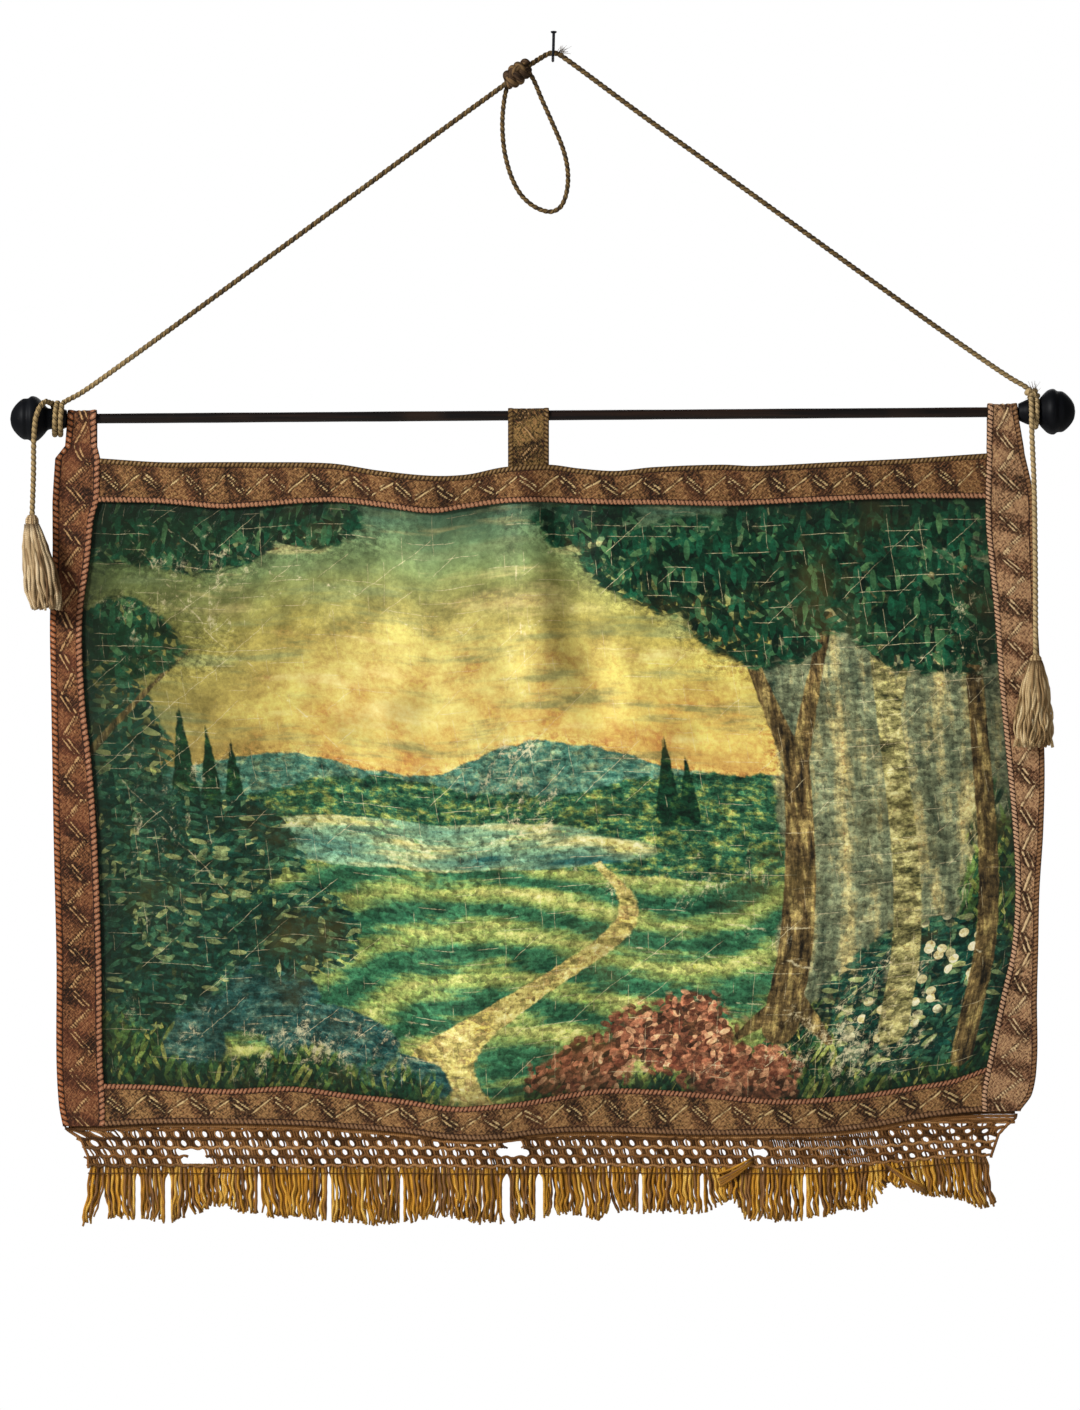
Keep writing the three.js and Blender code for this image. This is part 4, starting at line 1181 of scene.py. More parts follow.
def settle(piece: Piece, finish: Material, slot: str, *nodes: str) -> Piece:
    """Dresses a piece, ties it to the body and hides the CAD nodes it stands for."""
    piece.data.materials.append(finish)
    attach(piece, BODY)
    if nodes:
        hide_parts(*nodes)
    return piece


# The rod, its finials and the nail

def on_rod(points: Array) -> Array:
    """Moves points from the rod's own level line, centred on 0, to where it hangs."""
    turn = ROD["tilt"]
    x, y, z = points[..., 0], points[..., 1], points[..., 2]
    return np.stack([x * math.cos(turn) - z * math.sin(turn) + ROD["x"], y + ROD["y"],
                     x * math.sin(turn) + z * math.cos(turn) + ROD["z"]], -1)


@dataclass
class RodSet:
    """The rod with its two turned finials."""

    profile: tuple[tuple[float, float], ...] = (
        (0, 0.0068), (0.003, 0.0082), (0.0085, 0.0102), (0.0105, 0.0086), (0.015, 0.0088), (0.0185, 0.0126),
        (0.023, 0.0169), (0.026, 0.0182), (0.0284, 0.0182), (0.031, 0.0166), (0.035, 0.0162),
        (0.0405, 0.0118), (0.0442, 0.0062), (0.0453, 0.0012),
    )

    def finial(self, side: int) -> Skin:
        """Turns a finial about the rod's line, on its right end for 1 and its left for -1."""
        outline = np.array(self.profile)
        smooth = route(np.column_stack([outline, np.zeros(len(outline))]), 0.0005)[:, :2]
        skin = turned_skin(smooth, 64)
        points = skin.points * (side, side, 1)
        points[..., 0] += side * ROD["length"] / 2
        skin.points = on_rod(points)
        return skin

    def build(self) -> list[Piece]:
        """Makes the rod and both finials."""
        half = ROD["length"] / 2 - 0.0003
        x = np.linspace(-half, half, 160)
        wander = 1 + 0.012 * np.sin(x * 41) + 0.008 * np.sin(x * 97 + 1)
        bar = turned_skin(np.column_stack([x, ROD["radius"] * wander]), 40)
        bar.points = on_rod(bar.points)
        lacquer = LacquerFinish().material()
        return [
            settle(make_mesh("stained_rod", [bar]), WoodFinish().material(), "rod", "rod"),
            settle(make_mesh("turned_finial_left", [self.finial(-1)]), lacquer, "finial", "finial_left"),
            settle(make_mesh("turned_finial_right", [self.finial(1)]), lacquer, "finial", "finial_right"),
        ]


@dataclass
class BentNail:
    """The nail: driven into the wall, bent up in front of it, with a flat head."""

    radius: float = 0.00115
    head_radius: float = 0.0025
    head_height: float = 0.0018

    def build(self) -> Piece:
        """Carries a round section along the bend, and ends it in the head's profile."""
        places = np.array([
            (0, 0.022, 0), (0, 0.01, 0.0004), (0, 0, 0.0014), (0, -0.0061, 0.0018), (0, -0.0079, 0.0024),
            (0.0002, -0.0087, 0.0038),
            (0.0004, -0.0091, 0.0102), (0.0006, -0.0095, 0.0203),
        ])
        path = route(places, 0.0005)
        first, second = carried_frame(path)
        angle = full_turn(24)[..., None]
        length = path_length(path)
        radius = self.radius * np.interp(length, (0, 0.006), (0.15, 1))[:, None, None]
        ring = first[:, None] * np.cos(angle) + second[:, None] * np.sin(angle)
        shank = Skin(path[:, None] + ring * radius,
                     ring_uv(length, 24, 1.0), True, True)
        rim = np.array([(-1, 0.2), (-1, 0.7), (-0.4, 0.95), (0, 1), (0.5, 0.97), (0.8, 0.8), (1, 0.4)])
        head = turned_skin(rim * (self.head_height / 2, self.head_radius), 32)
        x, y, z = head.points[..., 0], head.points[..., 1], head.points[..., 2]
        head.points = np.stack([-z, y, x], -1) + path[-1]
        return settle(make_mesh("bent_nail", [shank, head]), SteelFinish().material(), "nail", "nail")


# The printed cloth

@dataclass(frozen=True)
class PrintFinish:
    """Printed sateen, aged: a landscape in gold, teal and dark green, with worn creases, a painted glare,
    painted shade towards its left side, and edges darkened by stains and painted shade.
    """

    name: str = "printed_sateen"

    @staticmethod
    def _leaves(s: Shader, where: Signal, size: tuple[float, float], turn: float) -> tuple[Signal, Signal]:
        """Scatters oval leaves of one direction.

        Args:
            s: The shader.
            where: A place in metres.
            size: A leaf's cell, long and wide, in metres.
            turn: The way the leaves point.

        Returns:
            1 inside a leaf, and each leaf's own random tone.
        """
        lengthened = s.stretched(where, (1 / size[0], 1 / size[1], 1), turn)
        settings = {"voronoi_dimensions": "2D"}
        near = s.wire("TexVoronoi", settings, {"Vector": lengthened, "Scale": 1.0}, "Distance")
        colour = Signal(s, near.socket.node.outputs["Color"])
        return near.rise(0.39, 0.33), s.parts(colour)[0]

    @staticmethod
    def _scratches(s: Shader, where: Signal, spacing: float, reach: float) -> Signal:
        """Draws thin straight scratches, one to a row, broken into stretches of their own.

        Args:
            s: The shader.
            where: A place in metres, whose first number runs along the scratches.
            spacing: The height of a row.
            reach: About how long a stretch is.

        Returns:
            1 on a scratch.
        """
        run, across, _ = s.parts(where)
        within = across % spacing
        row = (across - within) * 977.0
        level = s.noise(s.vector(row, 3.0), 1.0, 0.0) * 0.8 + 0.1
        line = abs(within * (1 / spacing) - level).rise(0.0004 / spacing, 0.0001 / spacing)
        return line * s.noise(s.vector(run * (1 / reach), row), 1.0, 0.0).rise(0.56, 0.62)

    def _foliage(self, s: Shader, ground: Signal, mask: Signal, colours: str,
                 size: tuple[float, float], turns: tuple[float, ...]) -> Signal:
        """Lays leaves of several directions over the ground where the mask allows."""
        for k, turn in enumerate(turns):
            moved = s.wire("VectorMath", {"operation": "ADD"}, {0: s.uv, 1: (0.31 * k, 0.17 * k, 0)})
            inside, tone = self._leaves(s, moved, size, turn)
            here = inside * mask.rise(0.35 + 0.08 * (k % 3), 0.55 + 0.08 * (k % 3))
            ground = s.blend(here * 0.9, ground, s.ramp(tone, colours))
        return ground

    def _landscape(self, s: Shader) -> Signal:
        """Paints the picture from back to front: sky, hills, lake, meadows and near plants, with a painted
        highlight of the sateen's glare laid over the sky.
        """
        ragged = s.noise(s.uv, 120.0, 4.0, 0.6) - 0.5
        soft = s.noise(s.uv, 14.0, 4.0, 0.55) - 0.5
        brush, streak = s.strokes(26, 150, 0.66), s.strokes(7, 46, 0.62)
        tufts, grain = s.strokes(95, 140, 0.7), s.strokes(60, 9, 0.6)

        def lay(scene: Signal, name: str, rough: float, soften: float, value: Signal, colours: str) -> Signal:
            """Paints a region over the scene: its ramp's colours within a ragged border."""
            inside = (s.layer(name) + ragged * rough).rise(-soften, soften)
            return s.blend(inside, scene, s.ramp(value, colours))

        across, down, _ = s.parts(s.uv)
        scene = s.ramp((down + soft * 0.06) * 3.6, "0:547a66 18:7a8e60 36:b4a85c 62:dcc06c 80:d0a660")
        scene = s.blend(across.rise(0.20, 0.0) * 0.7, scene, ink("4a5e3c"))
        # Painted highlight: a pale patch of glare where light falls on the sateen, upper left of the middle.
        scene = s.blend(s.layer("glow").rise(0.1, 1.0) * 0.6, scene, ink("e4ce84"))
        scene = s.blend(streak.rise(0.5, 0.66) * 0.6, scene, ink("7e8e68"))
        scene = s.blend(streak.rise(0.46, 0.32) * 0.4, scene, ink("f4e2a4"))
        furrows = (s.layer("furrow") + (streak - 0.5) * 0.030).wave(0.024)
        for region in (
            ("ridge_far", 0.006, 0.001, tufts + brush * 0.3 - 0.15, "30:225450 50:4e7c70 70:92a682"),
            ("ridge_near", 0.009, 0.001, tufts + brush * 0.5 - 0.25,
             "32:062e24 50:2e6048 62:809654 74:c4be74"),
            ("lake", 0.003, 0.001, streak, "35:326868 50:80a488 62:d6d096"),
            ("meadow", 0.006, 0.001, furrows * 0.34 + streak * 0.4 + tufts * 0.3 - 0.04,
             "20:063a2e 40:3a7052 58:889e5c 80:d8d086"),
            ("path", 0.010, 0.0015, tufts * 0.5 + brush * 0.5, "35:74703e 50:c0b270 65:e8daa0"),
            ("poplar", 0.004, 0.0008, tufts, "35:041a12 55:103a28 72:486c38"),
            ("wood", 0.012, 0.004, grain * 0.7 + tufts * 0.3, "34:2a3e36 50:788068 60:b4aa7c 70:e0d098"),
            ("stone", 0.006, 0.0012, tufts * 0.55 + brush * 0.45, "36:0a2426 48:204c4e 58:50726a 70:aab496"),
            ("bank", 0.014, 0.003, tufts, "34:06120c 52:20321a 68:60622e"),
        ):
            scene = lay(scene, *region)
        blades = s.layer("bank") + soft * 0.03
        scene = self._foliage(s, scene, blades.rise(-0.03, 0.02), "0:041e16 50:1a4c36 85:628040 100:b2b264",
                              (0.026, 0.0050), (1.35, 1.8, 1.05, 2.1))
        scene = self._plants(s, scene, soft, tufts, ragged)
        scene = lay(scene, "trunk", 0.003, 0.0007, s.strokes(150, 30, 0.65), "36:1e1912 52:685638 66:b29e68")
        scene = lay(scene, "birch", 0.003, 0.0007, s.strokes(60, 130, 0.65), "36:383c26 48:888458 62:cec690")
        crown = s.layer("crown") + soft * 0.02
        shade = s.ramp(tufts * 0.6 + soft * 0.8 + 0.2, "34:02120c 52:08281a 70:284a26")
        scene = s.blend((crown + ragged * 0.03).rise(0.006, 0.02) * 0.93, scene, shade)
        scene = self._foliage(s, scene, crown.rise(-0.018, 0.014), "0:021610 50:083222 85:16543e 100:547e54",
                              (0.0230, 0.0070), (0.3, 1.1, 2.0, 2.75, 0.75, 1.6))
        return s.blend((1 - crown.rise(0.10, 0.0)) * 0.35, scene, ink("081a12"))

    def _plants(self, s: Shader, scene: Signal, soft: Signal, tufts: Signal, ragged: Signal) -> Signal:
        """Adds the green shrub and the rose-coloured bush with its pale blooms."""
        russet = s.ramp(tufts * 0.8 + soft * 0.6 + 0.1, "32:22120e 48:60362a 60:9e644e 74:ce9c7c")
        for name, soften, share, ground, colours, size, turns in (
            ("shrub", 0.012, 0.9, ink("0a2620"), "0:042220 50:12423a 85:3c6c54 100:a8ae76", (0.019, 0.0058),
             (0.5, 1.6, 2.5, 0.1)),
            ("rose", 0.010, 0.95, russet, "0:281e12 35:68382a 70:a86c54 100:d6aa88", (0.013, 0.0062),
             (0.4, 1.5, 2.6)),
        ):
            depth = s.layer(name) + soft * 0.03
            scene = s.blend((depth + ragged * 0.02).rise(0.0, soften) * share, scene, ground)
            scene = self._foliage(s, scene, depth.rise(-0.016, 0.014), colours, size, turns)
        petals, tone = self._leaves(s, s.uv, (0.011, 0.0095), 0.4)
        blooms = petals * (s.layer("bloom") + soft * 0.05).rise(0.0, 0.016) * tone.rise(0.3, 0.4)
        return s.blend(blooms, scene, s.ramp(tone, "30:b2aa82 70:dcd4b0 100:f0eace"))

    def material(self) -> Material:
        """Paints the picture and then ages it: dabs, scuffs, cracks, creases and stains; then adds painted
        shade towards the left side and darkens the edges with stains and painted shade.
        """
        s = Shader(self.name)
        u, v, _ = s.parts(s.uv)
        scene = self._landscape(s)
        dabs = s.noise(s.uv, 230.0, 5.0, 0.8)
        clouds = s.noise(s.uv, 34.0, 4.0, 0.62)
        jolt = s.noise(s.uv, 60.0, 3.0, 0.6)
        calm = s.layer("ridge_far").rise(0.004, -0.01) * s.layer("crown").rise(0.0, -0.02)
        calm = calm * s.layer("wood").rise(0.0, -0.02)
        moved = s.vector(u + (jolt - 0.5) * 0.01, v + (dabs - 0.5) * 0.004)
        chips = s.parts(s.wire("TexVoronoi", {"voronoi_dimensions": "2D"},
                               {"Vector": s.stretched(moved, (150, 330, 1), 0.2), "Scale": 1.0}, "Color"))[1]
        leafy = s.layer("crown").rise(-0.012, 0.01) * 0.25
        for share, field_value, low, high in ((0.5 - calm * 0.42 - leafy, chips, 0.0, 1.0),
                                              (0.8 - calm * 0.52 - leafy, dabs, 0.36, 0.64),
                                              (0.5, clouds, 0.33, 0.67)):
            grey = s.ramp(field_value, [(low, (0.08, 0.08, 0.08)), (high, (0.92, 0.92, 0.92))])
            scene = s.blend(share, scene, grey, "OVERLAY")
        warped = s.vector(u + (jolt - 0.5) * 0.012, v + (clouds - 0.5) * 0.016)
        wear = s.layer("wear") + (clouds - 0.5) * 1.5
        patch = s.noise(s.stretched(warped, (95, 42, 1), 0.5), 1.0, 5.0, 0.78)
        fade = dabs.rise(0.38, 0.58)
        scuff = (patch + wear * 0.14).rise(0.60, 0.74) * wear.rise(0.0, 0.6) * fade
        craze = s.cracks(warped, 70.0).rise(0.022, 0.0)
        straight = s.vector(u + (jolt - 0.5) * 0.003, v + (jolt - 0.5) * 0.003)
        level = self._scratches(s, straight, 0.011, 0.035)
        upright = self._scratches(s, s.stretched(straight, (1, 1, 1), 1.48), 0.014, 0.022)
        slant = self._scratches(s, s.stretched(straight, (1, 1, 1), -0.72), 0.026, 0.05)
        rubbed = scuff * 0.8 + craze * wear.rise(0.35, 0.9) * fade * 0.45
        rubbed = rubbed + (level + upright * 0.8 + slant) * (0.35 + fade * 0.65) * 0.8
        crease = (s.layer("crease") + (dabs - 0.5) * 1.2).rise(0.3, 0.75) * clouds.rise(0.36, 0.5)
        rubbed = (rubbed + crease * 0.75).rise(0.0, 1.1)
        tint = s.blend(clouds.rise(0.4, 0.6), ink("d6c4a6"), ink("eee4c4"))
        scene = s.blend(rubbed * 0.85, scene, tint)
        stain = s.noise(s.uv, 9.0, 4.0, 0.6)
        scene = s.blend(stain.rise(0.52, 0.72) * 0.4, scene, ink("60542c"))
        # Painted shade: the left part of the print is darkened for the uneven light across the cloth.
        scene = s.blend(u.rise(0.26, 0.02) * 0.42, scene, ink("1a2814"))
        scene = s.blend(1.0, scene, (1.0, 0.96, 0.78), "MULTIPLY")
        # The edges next to the strips are darkened: partly stains, partly painted shade beside the raised
        # galloon.
        scene = s.blend(s.layer("border") * 0.6, scene, ink("121a12"))
        weft = v.wave(0.0009) * u.wave(0.0009)
        linen = s.blend(clouds, ink("968a6a"), ink("baae8c"))
        linen = s.blend(0.22, linen, scene)
        scene = s.blend(s.layer("reverse"), scene, linen)
        rough = 0.44 + rubbed * 0.25 + s.layer("reverse") * 0.3
        normal = s.bump(weft * 0.25 + dabs * 0.5 - craze * 0.4, 0.0004, 0.55)
        return s.finish(scene, rough, normal)


# The picture's regions in millimetres from the print's top left corner. An oval is its middle and its two
# half sizes, and the first number is how ragged the region is. A limb is its two ends and its two
# thicknesses.
OVALS = {
    "lake": (0, mm(
        (245, 268, 150, 21), (360, 277, 80, 12),
    )),
    "crown": (6, mm(
        (600, 45, 120, 54), (480, 45, 75, 36), (680, 90, 70, 50), (530, 95, 50, 30), (650, 10, 120, 50),
        (40, 15, 130, 35), (20, 110, 65, 28), (170, 15, 50, 20), (400, 12, 50, 18),
    )),
    "shrub": (6, mm(
        (30, 315, 90, 100), (110, 275, 60, 35), (655, 395, 75, 60), (15, 200, 50, 60), (150, 345, 50, 35),
    )),
    "bank": (8, mm(
        (660, 455, 150, 60), (500, 485, 160, 36), (100, 490, 200, 45), (720, 360, 40, 100),
        (0, 400, 50, 100),
    )),
    "stone": (5, mm(
        (115, 392, 60, 34), (185, 425, 50, 26), (55, 430, 50, 30), (245, 452, 40, 16), (100, 345, 35, 22),
    )),
    "rose": (6, mm(
        (470, 425, 62, 36), (400, 450, 50, 24), (520, 450, 50, 28),
    )),
    "bloom": (6, mm(
        (665, 375, 40, 45), (625, 415, 45, 30),
    )),
}
LIMBS = {
    "trunk": mm(
        (548, 410, 556, 200, 15, 10), (556, 210, 520, 100, 9, 4), (556, 210, 590, 90, 8, 4),
        (520, 100, 455, 55, 4, 1.2), (555, 390, 590, 425, 9, 3), (545, 395, 515, 420, 9, 3),
        (700, 450, 704, 20, 9, 6), (0, 200, 85, 115, 3, 1), (0, 30, 150, 35, 3, 1),
    ),
    "birch": mm(
        (640, 420, 628, 50, 12, 8), (628, 200, 664, 80, 5, 2),
    ),
    "poplar": mm(
        (72, 236, 73, 150, 11.5, -1), (92, 242, 93, 166, 9.5, -1), (110, 244, 111, 180, 10, -1),
        (452, 246, 453, 176, 10.5, -1), (468, 248, 469, 192, 9, -1),
    ),
}
CREASE_THICK = 0.0016

# Worn places: a middle, two half sizes and a strength in thousandths. Creases: two ends.
WORN = mm(
    (335, 225, 50, 50, 900), (170, 430, 130, 35, 900), (620, 400, 60, 60, 800), (100, 60, 120, 50, 700),
    (50, 250, 50, 120, 600), (480, 300, 100, 40, 600), (700, 100, 50, 100, 600), (360, 100, 40, 80, 500),
    (560, 440, 100, 30, 700),
)
CREASES = mm(
    (338, 10, 352, 160), (20, 10, 300, 100), (30, 30, 200, 200), (440, 335, 660, 330),
    (420, 357, 700, 372), (470, 395, 680, 404), (90, 420, 270, 405), (60, 445, 240, 455),
    (310, 200, 380, 180), (300, 240, 370, 260), (660, 30, 715, 70), (650, 130, 715, 120),
    (20, 220, 100, 310),
)


def spot(u: Array, v: Array, x: float, y: float, wide: float, high: float) -> Array:
    """A round hump of height 1: exp(-(distance over size)^2)."""
    return np.exp(-(((u - x) / wide) ** 2 + ((v - y) / high) ** 2))


def oval(u: Array, v: Array, x: float, y: float, wide: float, high: float) -> Array:
    """How deep a place lies in an oval, in metres: (1 - distance over size) times the smaller size."""
    return (1 - np.hypot((u - x) / wide, (v - y) / high)) * min(wide, high)


def limb(u: Array, v: Array, x: float, y: float, end_x: float, end_y: float, thick: float,
         end_thick: float) -> Array:
    """How deep a place lies in a tapering straight limb, in metres."""
    du, dv = end_x - x, end_y - y
    share = np.clip(((u - x) * du + (v - y) * dv) / (du**2 + dv**2), 0, 1)
    return mix(thick, end_thick, share) - np.hypot(u - x - share * du, v - y - share * dv)


def deepest(shape: Callable[..., Array], u: Array, v: Array, rows: Array) -> Array:
    """The most that a place lies in any of a table's shapes."""
    return np.max([shape(u, v, *row) for row in rows], 0)


@dataclass
class PrintedPanel:
    """The printed cloth, closed round its edges, whose front carries the picture.

    Attributes:
        columns: Points across the front.
        rows: Points down the front.
        coarse: Front points to one of the back's.
        flat: Its flat size; not used.
        picture: The picture's size between the strips.
        cell: One grid step's size across and down.
    """

    columns: int = 345
    rows: int = 229
    coarse: int = 4
    flat: tuple[float, float] = (0.794, 0.538)
    picture: tuple[float, float] = (0.722, 0.468)
    cell: tuple[float, float] = (0.021, 0.031)

    def _numbers(self) -> tuple[Array, Array]:
        """The front's grid numbers: fine across the print, a few more under the strips."""
        left, right, foot = CLOTH.inset, CLOTH.right, CLOTH.foot
        across = np.concatenate([np.linspace(0.35, left, 7), np.linspace(left, right, self.columns)[1:],
                                 np.linspace(right, right + 2.65, 7)[1:]])
        down = np.concatenate([np.linspace(0.8, left, 6), np.linspace(left, foot, self.rows)[1:],
                               np.linspace(foot, foot + 1.5, 4)[1:]])
        return across, down

    def paint(self, u: Array, v: Array) -> dict[str, Array]:
        """Works out the picture's regions as depths in metres, and the wear, the painted glare and the
        darkened edges as shares.

        Each region is positive inside. Ridges are heights less a few round humps,
        the path is its half width less the distance from its winding line, and the
        tree is the deepest of several ovals and limbs.

        Args:
            u: Across the print from its left edge.
            v: Down the print from its top edge.

        Returns:
            The layers by name.
        """
        rough = ripple(u, v, 0.09, 5)
        hump = lambda x, reach: spot(u, 0, x, 0, reach, 1)
        far = 0.214 - 0.026 * hump(0.36, 0.075) - 0.016 * hump(0.14, 0.06)
        near = 0.236 - 0.022 * hump(0.235, 0.09) - 0.024 * hump(0.50, 0.10) + 0.01 * hump(0.05, 0.05)
        middle = 0.395 - 0.10 * ease(v, 0.30, 0.47) + 0.030 * np.sin((v - 0.29) * 34)
        half = np.interp(v, (0.285, 0.34, 0.47), (0.003, 0.010, 0.034))
        wide, high = self.picture
        inside = np.minimum(np.minimum(u, wide - u), np.minimum(v, high - v))
        lines = np.pad(CREASES, ((0, 0), (0, 2)), constant_values=CREASE_THICK)
        crease = deepest(limb, u, v + 0.004 * ripple(u, v, 0.05, 8), lines)
        layers = {name: deepest(oval, u, v, rows) + 0.001 * ragged * rough
                  for name, (ragged, rows) in OVALS.items()}
        layers |= {name: deepest(limb, u, v, rows) for name, rows in LIMBS.items()}
        return layers | {
            # glow: the painted highlight of the sateen's glare.
            "glow": spot(u, v, 0.29, 0.14, 0.15, 0.075), "ridge_far": v - far + 0.003 * rough,
            "ridge_near": v - near + 0.003 * rough, "meadow": v - 0.292 - 0.008 * np.sin(u * 14 + 1),
            "furrow": (v - 0.29) * (1.2 - 1.4 * v) + 0.016 * np.sin(u * 17 - 9 * v) + 0.03 * u,
            "path": np.minimum(half - np.abs(u - middle), v - 0.287),
            "wood": np.minimum(u - 0.540 + 0.010 * rough, 0.42 - v),
            # border: the edges' darkening, stains and painted shade together.
            "border": 1 - ease(inside, -0.002, 0.030),
            "wear": np.sum([row[4] * spot(u, v, *row[:4]) for row in WORN], 0) + 0.12 * rough,
            "crease": np.clip(crease / 0.0022, 0, 1),
        }

    def _grid(self, across: Array, down: Array, back: float) -> Skin:
        """One side of the cloth, with its folds' fine wrinkles and its painted layers."""
        c, r = np.meshgrid(across, down)
        points = CLOTH.points(c, r, back)
        u = (c - CLOTH.inset) / CLOTH.columns * self.picture[0]
        v = (r - CLOTH.inset) / CLOTH.rows * self.picture[1]
        inside = ease(np.minimum(np.minimum(c - CLOTH.inset, CLOTH.right - c) * self.cell[0],
                                 np.minimum(r - CLOTH.inset, CLOTH.foot - r) * self.cell[1]), 0, 0.03)
        fine = 0.0009 * ripple(u, v * 0.6, 0.11, 21) + 0.00045 * ripple(u * 0.5, v, 0.035, 22)
        ripples = 0.0009 * np.sin(v * 150 + 3 * np.sin(u * 9)) * spot(u, v, 0.60, 0.37, 0.16, 0.07)
        points[..., 1] += inside * (fine + ripples)
        layers = self.paint(u, v) | {"reverse": np.full(u.shape, float(back > 0))}
        return Skin(points, np.stack([u, v], -1), layers=layers)

    @staticmethod
    def _outline(rows: int, columns: int, start: int) -> Array:
        """The numbers of a grid's border points, once round."""
        top = np.arange(columns - 1)
        right = np.arange(rows - 1) * columns + columns - 1
        bottom = (rows - 1) * columns + np.arange(columns - 1, 0, -1)
        left = np.arange(rows - 1, 0, -1) * columns
        return start + np.concatenate([top, right, bottom, left])

    def build(self) -> Piece:
        """Makes the front, a coarser back turned round, and a rim that joins them.

        Every fourth border point of the front has one of the back behind it. Each
        such span is closed by four triangles on the front's steps and one on the
        back's.
        """
        across, down = self._numbers()
        front = self._grid(across, down, -PANEL_THICKNESS / 2)
        back = self._grid(across[::self.coarse], down[::self.coarse], PANEL_THICKNESS / 2)
        rim = Faces()
        first_back = front.points.shape[0] * front.points.shape[1]
        fine = self._outline(*front.points.shape[:2], 0)
        wide = self._outline(*back.points.shape[:2], first_back)
        ahead = np.roll(fine, -1)
        n = self.coarse
        near = np.arange(len(fine)) % n < n // 2
        whose = np.where(near, np.repeat(wide, n), np.repeat(np.roll(wide, -1), n))
        steps = np.stack([fine, ahead, whose], -1)
        spans = np.stack([wide, fine[n // 2::n], np.roll(wide, -1)], -1)
        rim.triangles += [steps, spans]
        uv = np.concatenate([front.uv.reshape(-1, 2), back.uv.reshape(-1, 2)])
        rim.triangle_uv += [uv[steps], uv[spans]]
        back.points = back.points[:, ::-1]
        back.uv = back.uv[:, ::-1]
        back.layers = {key: value[:, ::-1] for key, value in back.layers.items()}
        rim.triangles = [self._mirrored(part, first_back, back.points.shape[1]) for part in rim.triangles]
        piece = make_mesh("printed_cloth", [front, back], rim)
        settle(piece, PrintFinish().material(), "print", "panel")
        return piece

    @staticmethod
    def _mirrored(faces: Array, first: int, columns: int) -> Array:
        """Renumbers the back's points, whose columns run the other way."""
        local = faces - first
        turned = first + local // columns * columns + (columns - 1 - local % columns)
        return np.where(faces >= first, turned, faces)


# The galloon

@dataclass(frozen=True)
class Braid:
    """The galloon's weave: its repeat, its edges and how high each part stands.

    Attributes:
        repeat: The pattern's length before it comes again.
        edge: The whipped edge's width.
        bead: The pitch of the edge's beads.
        thick: The weave's thickness.
        rising: How strong the rising line is.
        beside: How dark the weave is on that line's second side.
        cord: How far the whipped edge stands above the weave.
        relief: How far the gold threads stand above it.
    """

    repeat: float = 0.0336
    edge: float = 0.0046
    bead: float = 0.0034
    thick: float = 0.002
    rising: float = 1.0
    beside: float = 0.0
    cord: float = 0.0008
    relief: float = 0.0003

    def figure(self, s: Array, a: Array, width: Array) -> tuple[Array, dict[str, Array]]:
        """Works out the weave's height and its layers at places on a strip.

        The gold thread goes down across the band in the first half of the repeat, as
        two lines side by side with a dark one between, and comes back up in the second
        half as one. Each line is exp(-(distance / 0.7 mm)^2), and the weave is dark
        round the falling pair. An edge is a row of beads, |sin| of the length plus
        half of the way across it, on a half round.

        Args:
            s: Length along the strip.
            a: Distance from the strip's first edge.
            width: The strip's width there.

        Returns:
            The height above the weave's back, and the layers by name.
        """
        rim = np.minimum(a, width - a)
        inner = np.clip((a - self.edge) / (width - 2 * self.edge), 0, 1)
        phase = (s / self.repeat + 0.02 * ripple(s, a, 0.02, 6, 2)) % 1.0
        falling = phase < 0.5
        share = np.where(falling, phase * 2, 2 - phase * 2)
        away = (inner - 0.80 + 0.60 * share) * (width - 2 * self.edge) * 0.74
        line = lambda distance: np.exp(-((distance / 0.0007) ** 2))
        double = (np.maximum(line(away - 0.0015), line(away + 0.0015))
                  * ease(share, 0.04, 0.14) * ease(-share, -0.94, -0.84))
        band = ease(rim, self.edge - 0.0004, self.edge + 0.0016)
        chips = 0.85 + 0.5 * ripple(s, a, 0.009, 3, 2)
        single = np.maximum(line(away), line(away - 0.0024) * 0.55) * self.rising
        gold = np.where(falling, double, single) * band * chips
        returning = np.maximum(line(away - 0.0012) * 0.9, line(away + 0.0014) * self.beside)
        shade = np.where(falling, np.maximum(line(away), line(away + 0.003)), returning) * band
        centred = (phase + 0.25) % 1.0 - 0.25
        gap = np.minimum(*(np.abs(0.35 * inner - 0.515 + 1.36 * (centred - k)) for k in (0, 1)))
        block = 1 - np.exp(-((gap / 0.33) ** 6))
        within = np.clip(rim / self.edge, 0, 1)
        round_edge = np.sqrt(np.clip(1 - (2 * within - 0.9) ** 2, 0, 1))
        bead = np.abs(np.sin(math.pi * (s + 0.5 * rim) / self.bead)) * round_edge
        edge = ease(self.edge - rim, -0.0003, 0.0006)
        height = self.thick + edge * self.cord * (0.3 * round_edge + 0.7 * bead) + gold * self.relief
        height = height + 0.0002 * ripple(s, a, 0.006, 4, 2) * band - 0.0003 * shade
        side = ease(a / width, 0.4, 0.6)
        return height, {"gold": gold, "shade": shade, "block": block, "edge": edge, "whip": bead,
                        "side": side}


class StripPlace(Enum):
    """The galloon's lengths."""

    LEFT = "left"
    RIGHT = "right"
    TOP = "top"
    BOTTOM = "bottom"
    MIDDLE = "middle"


